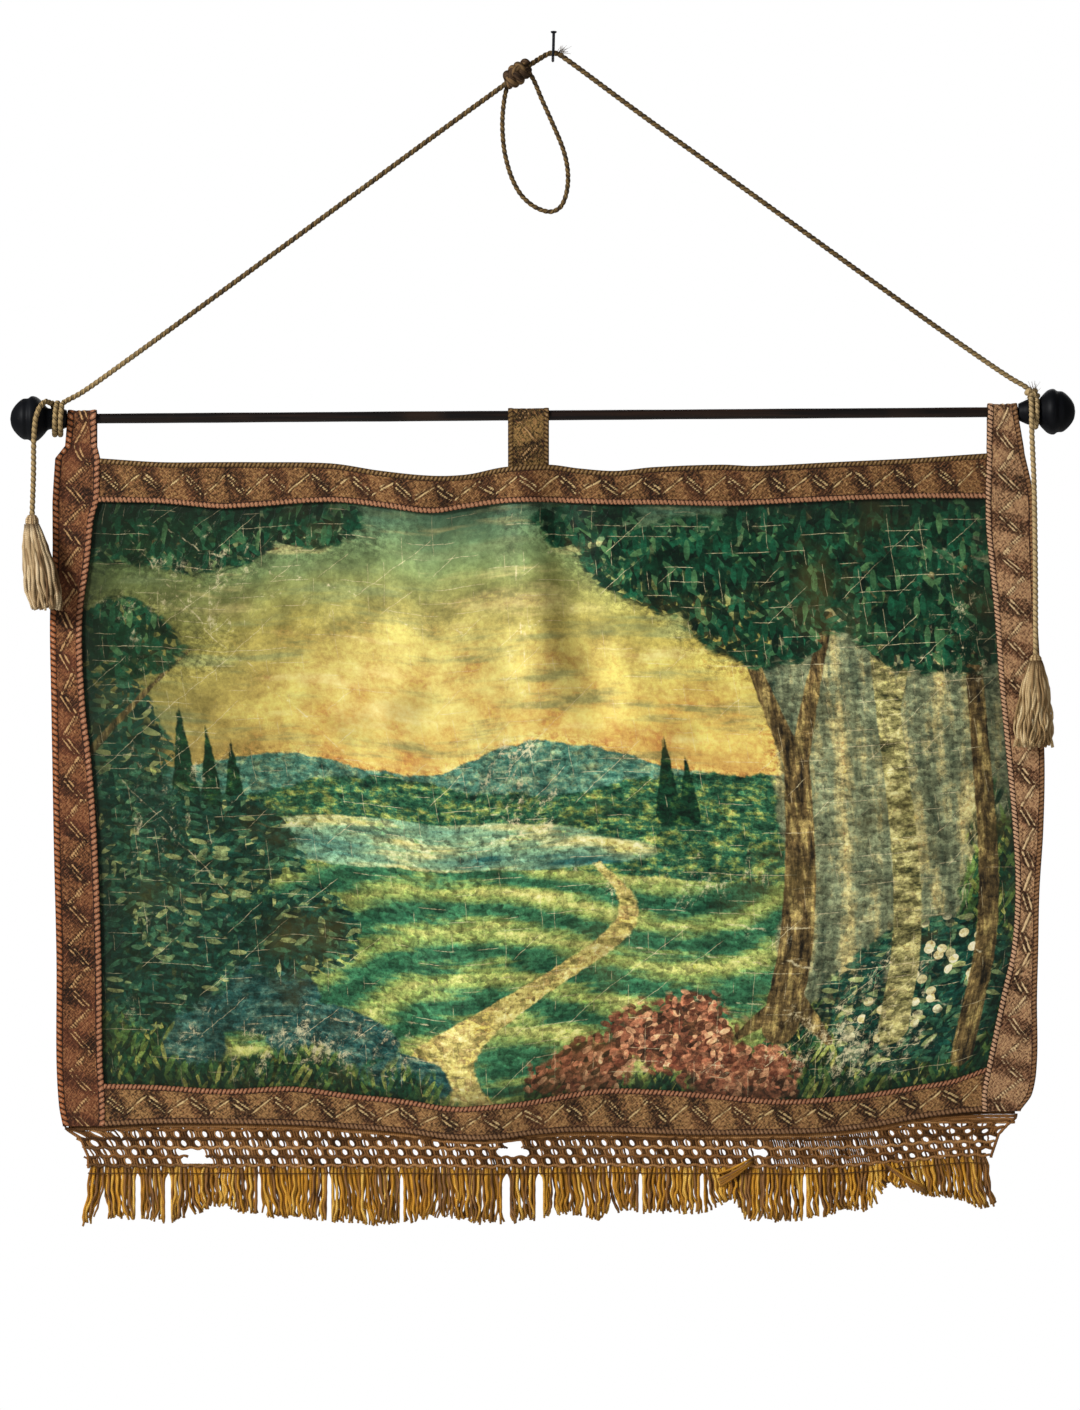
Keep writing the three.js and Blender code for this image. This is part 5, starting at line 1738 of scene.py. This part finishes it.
@dataclass
class Strip:
    """One length of galloon on its way, from its inner face outwards.

    Attributes:
        inner: Stations along by places across by x, y, z, on its inner face.
        outward: The way its outer face looks at each station.
        start: Where in the pattern's repeat it starts, in metres.
        way: 1 where the pattern runs along the strip, -1 where it runs back.
    """

    inner: Array
    outward: Array
    start: float = 0.0
    way: float = 1.0

    def relaid(self, step: float) -> "Strip":
        """The same strip with even stations along its middle, read between the old ones."""
        length = path_length(self.inner[:, self.inner.shape[1] // 2])
        at = np.linspace(0, length[-1], int(length[-1] / step) + 1)
        index = np.interp(at, length, np.arange(len(length)))
        low = np.minimum(index.astype(int), len(length) - 2)
        t = (index - low)[:, None, None]
        between = lambda values: mix(values[low], values[low + 1], t)
        return Strip(between(self.inner), unit(between(self.outward)), self.start, self.way)

    def skin(self, braid: Braid, thick_gain: float = 1.0) -> Skin:
        """Closes the strip round: its figured outer face, then its plain inner one.

        Args:
            braid: The weave.
            thick_gain: A share that every height is multiplied by.

        Returns:
            The skin, whose UVs are the length along and the distance across.
        """
        s = self.way * path_length(self.inner[:, self.inner.shape[1] // 2])[:, None] + self.start
        a = path_length(self.inner)
        height, layers = braid.figure(s, a, a[:, -1:])
        outer = self.inner + self.outward * (height * thick_gain)[..., None]
        count = a.shape[1]
        back = np.linspace(count - 1, 0, 7).astype(int)
        points = np.concatenate([outer, self.inner[:, back]], 1)
        plain = {"gold": 0.0, "shade": 0.0, "block": 0.6, "edge": 0.0, "whip": 0.0, "side": 0.5}
        flat = np.ones((len(a), len(back)))
        layers = {key: np.concatenate([value + 0 * a, flat * plain[key]], 1) for key, value in layers.items()}
        across = np.concatenate([a, a[:, back], a[:, :1]], 1)
        uv = np.stack([s + 0 * across, across], -1)
        return Skin(points, uv, round_columns=True, capped=True, layers=layers)


@dataclass(frozen=True)
class StripCut:
    """What one of the galloon's lengths is cut from, stands for and is dressed in.

    Attributes:
        flat: Its flat size; not used.
        node: The CAD node that it replaces.
        finish: Its colours.
        braid: Its weave.
        gain: A share that the weave's height is multiplied by.
    """

    flat: tuple[float, float]
    node: str
    finish: GalloonFinish
    braid: Braid = Braid()
    gain: float = 1.0


OLIVE, DIM, DULL = ink("70562e"), ink("ac8254"), ink("cca470")
CUTS = {
    StripPlace.LEFT: StripCut(
        (0.036, 0.62), "border_left",
        GalloonFinish("galloon_rust", ink("965832"), ink("9c684a"), ink("3a2416"), ink("784c2e"), DIM, DULL,
                      tinted=0.35),
        Braid(edge=0.0054, bead=0.0046, rising=1.4, beside=0.9)),
    StripPlace.RIGHT: StripCut(
        (0.036, 0.61), "border_right",
        GalloonFinish("galloon_brown", ink("be9472"), ink("845e3c"), ink("62462f"), ink("b28a64"),
                      ink("d4b07c"), ink("e6ca9c")),
        Braid(rising=1.4, beside=0.9)),
    StripPlace.TOP: StripCut(
        (0.712, 0.035), "border_top", GalloonFinish("galloon_tan", ink("a47252"), OLIVE)),
    StripPlace.BOTTOM: StripCut(
        (0.712, 0.033), "border_bottom",
        GalloonFinish("galloon_umber", ink("7a583a"), ink("986446"), ink("4c3621"), ink("926c42"))),
    StripPlace.MIDDLE: StripCut(
        (0.033, 0.125), "tab_middle",
        GalloonFinish("galloon_olive", OLIVE, OLIVE, ink("503e22"), ink("967644"), DIM, DULL, tinted=0.0),
        gain=0.57),
}


@dataclass
class Galloon:
    """The woven braid sewn round the cloth, whose side lengths go over the rod.

    Attributes:
        step: The distance between two rows of a strip's points.
        clearance: The air between the braid and the rod.
        across: Points across a strip.
    """

    step: float = 0.0009
    clearance: float = 0.0006
    across: int = 29

    def _shares(self) -> Array:
        """Places across a strip, closer together in its two whipped edges."""
        edge = np.linspace(0, 0.17, 7)
        return np.concatenate([edge, np.linspace(0.17, 0.83, self.across - 12)[1:-1], 1 - edge[::-1]])

    def _arch(self, x: Array) -> tuple[Array, Array]:
        """A half turn over the rod, from behind it to in front, as places and directions."""
        angle = np.linspace(math.pi, 0, 21)[:, None]
        radius = ROD["radius"] + self.clearance
        outward = np.stack([0 * x + 0 * angle, -np.cos(angle) + 0 * x, np.sin(angle) + 0 * x], -1)
        middle = np.stack([x + 0 * angle, ROD["y"] + 0 * x + 0 * angle, rod_height(x) + 0 * angle], -1)
        return middle + outward * radius, outward

    def side(self, first_column: int, top: tuple[float, float], foot: tuple[float, float],
             mid_z: float) -> Strip:
        """A side length: its short leg behind the cloth, over the rod and down.

        Args:
            first_column: The grid's column on its left edge.
            top: Its left and right edge on the rod.
            foot: Its left and right edge where it comes down to the cloth.
            mid_z: The height between the rod and the cloth's top.

        Returns:
            The strip.
        """
        t = self._shares()
        level = lambda y, z, x: np.stack([x, np.full_like(x, y), np.full_like(x, z)], -1)[None]
        x_top, x_foot = mix(*top, t), mix(*foot, t)
        rear = HANG_DEPTH + PANEL_THICKNESS / 2 + LAYER_GAP
        leg = np.concatenate([level(rear, -0.340, mix(x_foot, x_top, 0.3)),
                              level(rear + 0.0006, -0.320, mix(x_foot, x_top, 0.6))])
        arch, outward = self._arch(x_top)
        front = mix(HANG_DEPTH + GALLOON_BACK, ROD["y"] - ROD["radius"] - self.clearance, 0.25)
        neck = level(front, mid_z, x_foot)
        column = first_column + np.interp(t, CLOTH.strip_places, np.arange(4))
        c, r = np.meshgrid(column, np.linspace(0, CLOTH.foot + CLOTH.inset, 500))
        cloth = CLOTH.points(c, r, GALLOON_BACK)
        way = lambda y, n: np.tile(np.array((0.0, y, 0.0)), (n, len(t), 1))
        ways = np.concatenate([way(1, 2), outward, way(-1, 1 + len(cloth))])
        return Strip(np.concatenate([leg, arch, neck, cloth]), ways, 0.0, -1.0).relaid(self.step)

    def cross(self, first_row: int) -> Strip:
        """A length across the cloth's top or bottom, between the two side lengths."""
        t = self._shares()[::-1]
        row = first_row + np.interp(t, CLOTH.strip_places, np.arange(4))
        column = np.linspace(CLOTH.inset - 0.04, CLOTH.right + 0.04, 700)
        c, r = np.meshgrid(column, row, indexing="ij")
        cloth = CLOTH.points(c, r, GALLOON_BACK)
        return Strip(cloth, np.tile(np.array((0.0, -1.0, 0.0)), (*c.shape, 1))).relaid(self.step)

    def middle(self) -> Strip:
        """The middle loop, both of whose legs end behind the top strip."""
        left, right, foot, rise, thick = -0.036, -0.0032, -0.344, 0.017, 0.0016
        x = mix(left, right, self._shares())
        rear = PANEL_THICKNESS / 2 + LAYER_GAP + 0.0005
        leg = lambda z, y: np.stack([x, CLOTH.depth(x, z) + rear + y, np.full_like(x, z)], -1)[None]
        arch, outward = self._arch(x)
        behind = np.concatenate([leg(foot, thick + 0.0003), leg(foot + rise, thick + 0.0003)])
        front = np.concatenate([leg(foot + rise, thick), leg(foot, thick)])
        way = lambda y: np.tile(np.array((0.0, y, 0.0)), (2, len(x), 1))
        return Strip(np.concatenate([behind, arch, front]), np.concatenate([way(1), outward, way(-1)]),
                     0.008).relaid(self.step)

    def build(self) -> dict[StripPlace, Piece]:
        """Makes all five lengths, each in its own weave and finish."""
        strips = {
            StripPlace.LEFT: self.side(0, (-0.388, -0.365), (-0.390, -0.3645), -0.312),
            StripPlace.RIGHT: self.side(CLOTH.right, (0.3475, 0.3712), (0.3465, 0.3765), -0.314),
            StripPlace.TOP: self.cross(0),
            StripPlace.BOTTOM: self.cross(CLOTH.foot),
            StripPlace.MIDDLE: self.middle(),
        }
        pieces = {}
        for place, strip in strips.items():
            cut = CUTS[place]
            piece = make_mesh(f"galloon_{place.value}", [strip.skin(cut.braid, cut.gain)])
            pieces[place] = settle(piece, cut.finish.material(), "galloon", cut.node)
        return pieces


# The net and the fringe

def net_rise(x: Array) -> Array:
    """How far the net's foot is drawn up at its right end."""
    return 0.0085 * ease(x, 0.22, 0.34)


@dataclass
class KnottedNet:
    """The net heading: short yarns between row cords, which leave staggered oval holes."""

    pitch: float = 0.0112
    row_lines: tuple[float, ...] = (-0.8517, -0.8589, -0.8661, -0.8733, -0.8805, -0.8878)
    foot: float = -0.8898
    first: float = -0.368
    last: float = 0.347
    strands: int = 7
    tears: tuple[tuple[float, float, int], ...] = (
        (-0.298, -0.274, 3), (-0.292, -0.276, 4), (-0.046, -0.020, 3), (-0.042, -0.024, 2), (0.156, 0.171, 3),
    )
    breaks: tuple[tuple[float, float, int], ...] = ((-0.2905, -0.2775, 4), (-0.0410, -0.0250, 3))

    @staticmethod
    def warped(points: Array) -> Array:
        """Slants the net's two ends: x moves by a shift that grows towards the strip."""
        x, y, z = points[..., 0], points[..., 1], points[..., 2]
        left = np.interp(z, (-0.889, -0.880, -0.874, -0.866, -0.859), (0, 0.0003, 0.003, 0.006, 0.017))
        right = np.interp(z, (-0.889, -0.866, -0.856, -0.849), (0, 0.006, 0.013, 0.020))
        x = x - left * ease(-x, 0.335, 0.368) + right * ease(x, 0.296, 0.346)
        z = z + net_rise(x) * np.clip((-0.8517 - z) / 0.036, 0, 1)
        return np.stack([x, CLOTH.depth(x, z) + y, z], -1)

    def _pillars(self, rng: np.random.Generator) -> Array:
        """The short yarns' paths between two row cords, spread at both ends.

        A yarn at share q of its pillar goes by x = middle + q (waist + (half pitch -
        waist) |2t - 1|^3), and lies before or behind its neighbour. Where the net is
        matted the waists are nearly as wide as the pitch.
        """
        t = np.linspace(0, 1, 6)[None]
        q = np.linspace(-1, 1, self.strands)[:, None]
        paths = []
        for row, (top, bottom) in enumerate(zip(self.row_lines[:-1], self.row_lines[1:])):
            shift = 0.5 * (row % 2)
            middles = np.arange(self.first + shift * self.pitch, self.last, self.pitch)
            for middle in middles:
                edge = along(BOTTOM_STRIP, 2, np.array(middle))
                torn = any(a < middle < b and row == line for a, b, line in self.tears)
                if bottom > edge + 0.001 or torn:
                    continue
                matted = ease(np.array(middle), 0.164, 0.176) * ease(-np.array(middle), -0.272, -0.256)
                closed = matted * rng.choice((0.0023, 0.0014, 0.0005), p=(0.55, 0.3, 0.15))
                waist = 0.0027 + 0.0006 * rng.random() + closed
                reach = waist + (0.54 * self.pitch - waist) * np.abs(2 * t - 1) ** 3
                bow = 0.0036 * rng.random(2) * (rng.random(2) < 0.45)
                bow = np.where(q < -0.8, -bow[0], np.where(q > 0.8, bow[1], 0)) * 4 * t * (1 - t)
                x = middle + rng.normal(0, 0.0003) + q * reach + bow + 0.0020 * (t - 0.5)
                y = 0.0002 + 0.0005 * np.cos(math.pi * 3 * q) + 0 * t
                z = mix(top, bottom, t) + 0 * q
                paths.append(np.stack([x, y, z], -1))
        return np.concatenate(paths)

    def _row_cord(self, line: int, z: float) -> list[Array]:
        """One row cord's lengths: parted where it is torn, and only where the strip doesn't hide it."""
        x = np.arange(self.first - 0.0030, self.last + 0.0030, 0.0018)
        kept = z < along(BOTTOM_STRIP, 2, x) + 0.004
        for a, b, broken in self.breaks:
            kept &= (broken != line) | (x < a) | (x > b)
        sag = 0.0008 * np.cos(2 * math.pi * (x - self.first) / self.pitch + math.pi * line)
        path = np.stack([x, 0 * x - 0.0004, z - sag + 0.0004 * np.sin(x * 90 + 2 * line)], -1)
        runs = np.split(np.arange(len(x)), np.flatnonzero(np.diff(kept.astype(int))) + 1)
        return [path[run] for run in runs if kept[run[0]] and len(run) > 3]

    def build(self) -> Piece:
        """Makes the pillars, the row cords and the heading under the strip."""
        rng = np.random.default_rng(71)
        pillars = self.warped(self._pillars(rng))
        skins = yarns(pillars, 0.0008, 5, 0.004, 72)
        for line, z in enumerate(self.row_lines):
            for path in self._row_cord(line, z):
                skins += yarns(self.warped(path)[None], 0.0012, 6, 0.003, 73 + line)
        x = np.arange(self.first - 0.016, self.last + 0.0235, 0.0024)
        edge = along(BOTTOM_STRIP, 2, x)
        for k in range(5):
            z = mix(edge, np.minimum(edge, -0.8505), k / 4) + 0.0012 - 0.0009 * k
            heading = np.stack([x, CLOTH.depth(x, z) + 0.0002 * (k % 2), z], -1)
            skins += yarns(heading[None], 0.0013, 6, 0.0035, 91 + k)
        for x_side, high in ((self.first - 0.0036, -0.857), (self.last + 0.0034, -0.846)):
            z = np.linspace(high, self.foot, 40)
            selvage = self.warped(np.stack([np.full_like(z, x_side), np.zeros_like(z), z], -1))
            skins += yarns(selvage[None], 0.0013, 6, 0.003, 99)
        bars = YarnFinish("net_yarn", "0:321e0d 30:684420 65:926335 100:b88854",
                          ink("2e1d0f"), 0.25).material()
        return settle(make_mesh("knotted_net", skins), bars, "net", "net")


@dataclass
class YarnFringe:
    """The fringe: locks of cut yarn that hang from the net, with gaps and swept places.

    Attributes:
        pitch: The distance from lock to lock.
        per_lock: Yarns in a lock.
        first: Where the first lock starts.
        last: Where the last lock ends.
        root: The height that the yarns hang from.
        belt: The height of the stitching through the locks.
        tips: Places across, with the height of the tips and how far they lean there.
        slits: Places where the locks part, with half of each opening.
    """

    pitch: float = 0.0112
    per_lock: int = 13
    first: float = -0.370
    last: float = 0.347
    root: float = -0.8862
    belt: float = -0.8936
    tips: Array = field(default_factory=lambda: mm(
        (-370, -937, -12), (-356, -928, -3), (-334, -929, 0), (-316, -931, 0), (-292, -928, 1),
        (-277, -920, 0), (-262, -918, 0), (-251, -924, 1), (-200, -930, 0), (-154, -933, 1),
        (-122, -933, 0), (-90, -928, -1), (-54, -932, 0), (-30, -930, 1), (-9, -928, -1), (13, -926, 0),
        (31, -931, 2), (50, -922, 1), (70, -924, 0), (118, -923, 2), (138, -914, 5), (158, -929, 0),
        (202, -929, -1), (230, -922, 0), (252, -921, 1), (264, -903, 3), (280, -907, 6), (298, -911, 5),
        (318, -914, 4), (336, -919, 6), (346, -916, 9),
    ))
    slits: Array = field(default_factory=lambda: mm(
        (-332, 2), (-308, 2.2), (-37.6, 3), (-11, 2.8), (-235, 1.2), (-179, 1.4), (-121, 1.2), (70, 1.4),
        (119, 1.4), (201, 1.2),
    ))

    def _paths(self, rng: np.random.Generator) -> tuple[Array, Array]:
        """The yarns' paths and radii.

        A lock's yarns start close together between two slots of the net and widen below
        it: x = middle + q width(t) + lean t^1.3 plus a slow wave that the lock shares and
        a quicker one of the yarn's own, and is then pushed out of each slit.
        """
        middles = np.arange(self.first + 0.5 * self.pitch, self.last, self.pitch)
        count = self.per_lock
        lock = np.repeat(np.arange(len(middles)), count)
        q = np.tile(np.linspace(-1, 1, count), len(middles)) + rng.normal(0, 0.06, len(lock))
        t = np.linspace(0, 1, 13)[None]
        share = rng.random((4, len(middles)))[:, lock][..., None]
        own = rng.random((4, len(lock)))[..., None]
        start = middles[lock][:, None]
        tip = (along(self.tips, 1, start + q[:, None] * 0.005) + 0.004 * (own[0] - 0.5)
               + 0.003 * (share[0] - 0.5))
        lean = along(self.tips, 2, start) + 0.007 * (share[1] - 0.35) + 0.0050 * (own[1] - 0.5)
        width = (0.0042 + 0.0015 * ease(t, 0.05, 0.25) * (0.8 + 0.4 * share[2])
                 - 0.0014 * ease(t, 0.5, 1) * share[3])
        x = start + q[:, None] * width + lean * t**1.3
        x = x + 0.0014 * np.sin(2 * math.pi * (share[0] + 1.2 * t)) * t + 0.0010 * np.sin(
            2 * math.pi * (own[2] + 2.6 * t)) * t
        for place, half in self.slits:
            side = np.where(start + q[:, None] * 0.0045 < place, -1.0, 1.0)
            push = np.clip(half + 0.0012 - side * (x - place), 0, 2 * half + 0.002) * ease(t, 0.10, 0.3)
            x = x + side * push * (np.abs(start - place) < 0.012)
        z = mix(self.root + net_rise(start), tip, t)
        layer = 0.0012 * ((np.arange(len(lock)) * 3) % 4 - 1.5)[:, None]
        bulge = 0.0010 * np.sin(math.pi * np.clip(t * 1.4, 0, 1)) * (own[3] - 0.3)
        y = CLOTH.depth(x, np.full_like(x, self.root)) + 0.0008 + layer * ease(t, 0, 0.25) - bulge
        radius = (0.00092 + 0.0003 * own[2]) * (1 - 0.2 * ease(t, 0.85, 1)) + 0 * t
        return np.stack([x, y, z], -1), radius

    def _swept(self, rng: np.random.Generator) -> tuple[Array, Array]:
        """Two loose locks that fell across their neighbours, in front of them."""
        t = np.linspace(0, 1, 15)[None]
        paths, radii = [], []
        for x0, z0, x1, z1, lift in ((0.266, -0.887, 0.296, -0.906, 0.0045),
                                     (0.160, -0.883, 0.133, -0.900, 0.0045)):
            n = 12
            own = rng.normal(0, 1, (3, n, 1))
            x = mix(x0, x1, t) + 0.0009 * own[0] * (0.4 + t)
            z = mix(z0, z1, t**1.2) - 0.002 * np.sin(math.pi * t) + 0.0022 * own[1] * (0.3 + 0.8 * t)
            y = CLOTH.depth(x, z) - lift * np.sin(math.pi * np.clip(0.15 + 0.7 * t, 0, 1)) + 0.0004 * own[2]
            paths.append(np.stack([x, y, z], -1))
            radii.append(0.0009 + 0 * x)
        return np.concatenate(paths), np.concatenate(radii)

    def build(self) -> Piece:
        """Makes the locks and the thin belt that holds their roots."""
        rng = np.random.default_rng(41)
        paths, radius = self._paths(rng)
        skins = yarns(paths, radius, 5, 0.0052, 42)
        swept, thick = self._swept(rng)
        skins += yarns(swept, thick, 5, 0.0052, 43)
        x = np.arange(self.first - 0.002, self.last + 0.002, 0.002)
        z = self.belt + net_rise(x) + 0.0002 * np.sin(x * 160)
        for front in (-0.0026, 0.0034):
            belt = np.stack([x, CLOTH.depth(x, z) + front, z], -1)
            skins += yarns(belt[None], 0.00045, 5, 0.003, 44)
            # The belt yarns take the root's painted shadow colour all along.
            skins[-1].layers["reach"][:] = 0
        gold = YarnFinish("fringe_yarn", "0:482c14 20:90673e 36:9c6924 65:d6992e 100:f0c460",
                          ink("362110"), 0.2, ink("946c32")).material()
        return settle(make_mesh("yarn_fringe", skins), gold, "fringe", "fringe")


# The studio

@dataclass
class Studio:
    """The camera at the photograph's angle, plain soft lights and a pale floor."""

    distance: float = 4.5
    sensor: float = 36.0
    floor: float = -1.6

    def camera(self) -> Piece:
        """Frames the photograph: its pixel size at the cloth gives the lens."""
        tall = PHOTO["high"] * PHOTO["pixel"]
        data = bpy.data.cameras.new("photo_camera")
        data.sensor_width = self.sensor
        data.lens = self.sensor * self.distance / tall
        data.clip_end = 60
        camera = put("photo_camera", data)
        x = (PHOTO["wide"] / 2 - PHOTO["nail_x"]) * PHOTO["pixel"]
        z = -(PHOTO["high"] / 2 - PHOTO["nail_y"]) * PHOTO["pixel"]
        camera.location = (x, HANG_DEPTH - self.distance, z)
        camera.rotation_euler = (math.pi / 2, 0, 0)
        bpy.context.scene.camera = camera
        return camera

    def lights(self) -> None:
        """Hangs a large key light, a weaker fill and one behind for the back."""
        lamps = (("key", (-2.6, -2.0, 0.9), 0.9, 150.0), ("fill", (2.2, -3.2, -0.2), 2.2, 12.0),
                 ("rim", (0.6, 2.6, 0.6), 2.0, 30.0))
        aim = Vector((0, 0, -0.55))
        for name, place, size, power in lamps:
            data = bpy.data.lights.new(name, "AREA")
            data.shape = "SQUARE"
            data.size = size
            data.energy = power
            lamp = put(name, data)
            lamp.location = place
            lamp.rotation_euler = (aim - Vector(place)).to_track_quat("-Z", "Y").to_euler()

    def surroundings(self) -> None:
        """Shows white round the object, and lights it with less than that."""
        bpy.context.scene.view_settings.view_transform = "Standard"
        world = bpy.data.worlds.new("studio")
        bpy.context.scene.world = world
        world.use_nodes = True
        nodes, links = world.node_tree.nodes, world.node_tree.links
        surface = nodes["Background"]
        surface.inputs["Color"].default_value = (1, 1, 1, 1)
        seen = nodes.new("ShaderNodeLightPath").outputs["Is Camera Ray"]
        ends = nodes.new("ShaderNodeMapRange")
        ends.inputs["To Min"].default_value = 0.22
        ends.inputs["To Max"].default_value = 1.0
        links.new(seen, ends.inputs["Value"])
        links.new(ends.outputs["Result"], surface.inputs["Strength"])

    def ground(self) -> Piece:
        """Lays a plain pale floor well below the fringe."""
        mesh = bpy.data.meshes.new("pale_floor")
        corners = [(-4, -4, self.floor), (4, -4, self.floor), (4, 3, self.floor), (-4, 3, self.floor)]
        mesh.from_pydata(corners, [], [(0, 1, 2, 3)])
        floor = put("pale_floor", mesh)
        material = bpy.data.materials.new("pale_floor")
        material.use_nodes = True
        material.node_tree.nodes["Principled BSDF"].inputs["Base Color"].default_value = (0.82, 0.81, 0.79, 1)
        floor.data.materials.append(material)
        return floor


def main() -> None:
    """Builds the studio, the cord and then the rest."""
    logging.basicConfig(level=logging.INFO, format="%(name)s: %(message)s")
    studio = Studio()
    studio.camera()
    pieces = HangingCord().build()
    studio.lights()
    studio.surroundings()
    studio.ground()
    pieces += RodSet().build()
    pieces.append(BentNail().build())
    pieces.append(PrintedPanel().build())
    strips = Galloon().build()
    pieces += strips.values()
    net, fringe = KnottedNet().build(), YarnFringe().build()
    pieces += [net, fringe]
    for piece in pieces:
        LOG.info("%s: %d points", piece.name, len(piece.data.vertices))


if __name__ == "__main__":
    main()
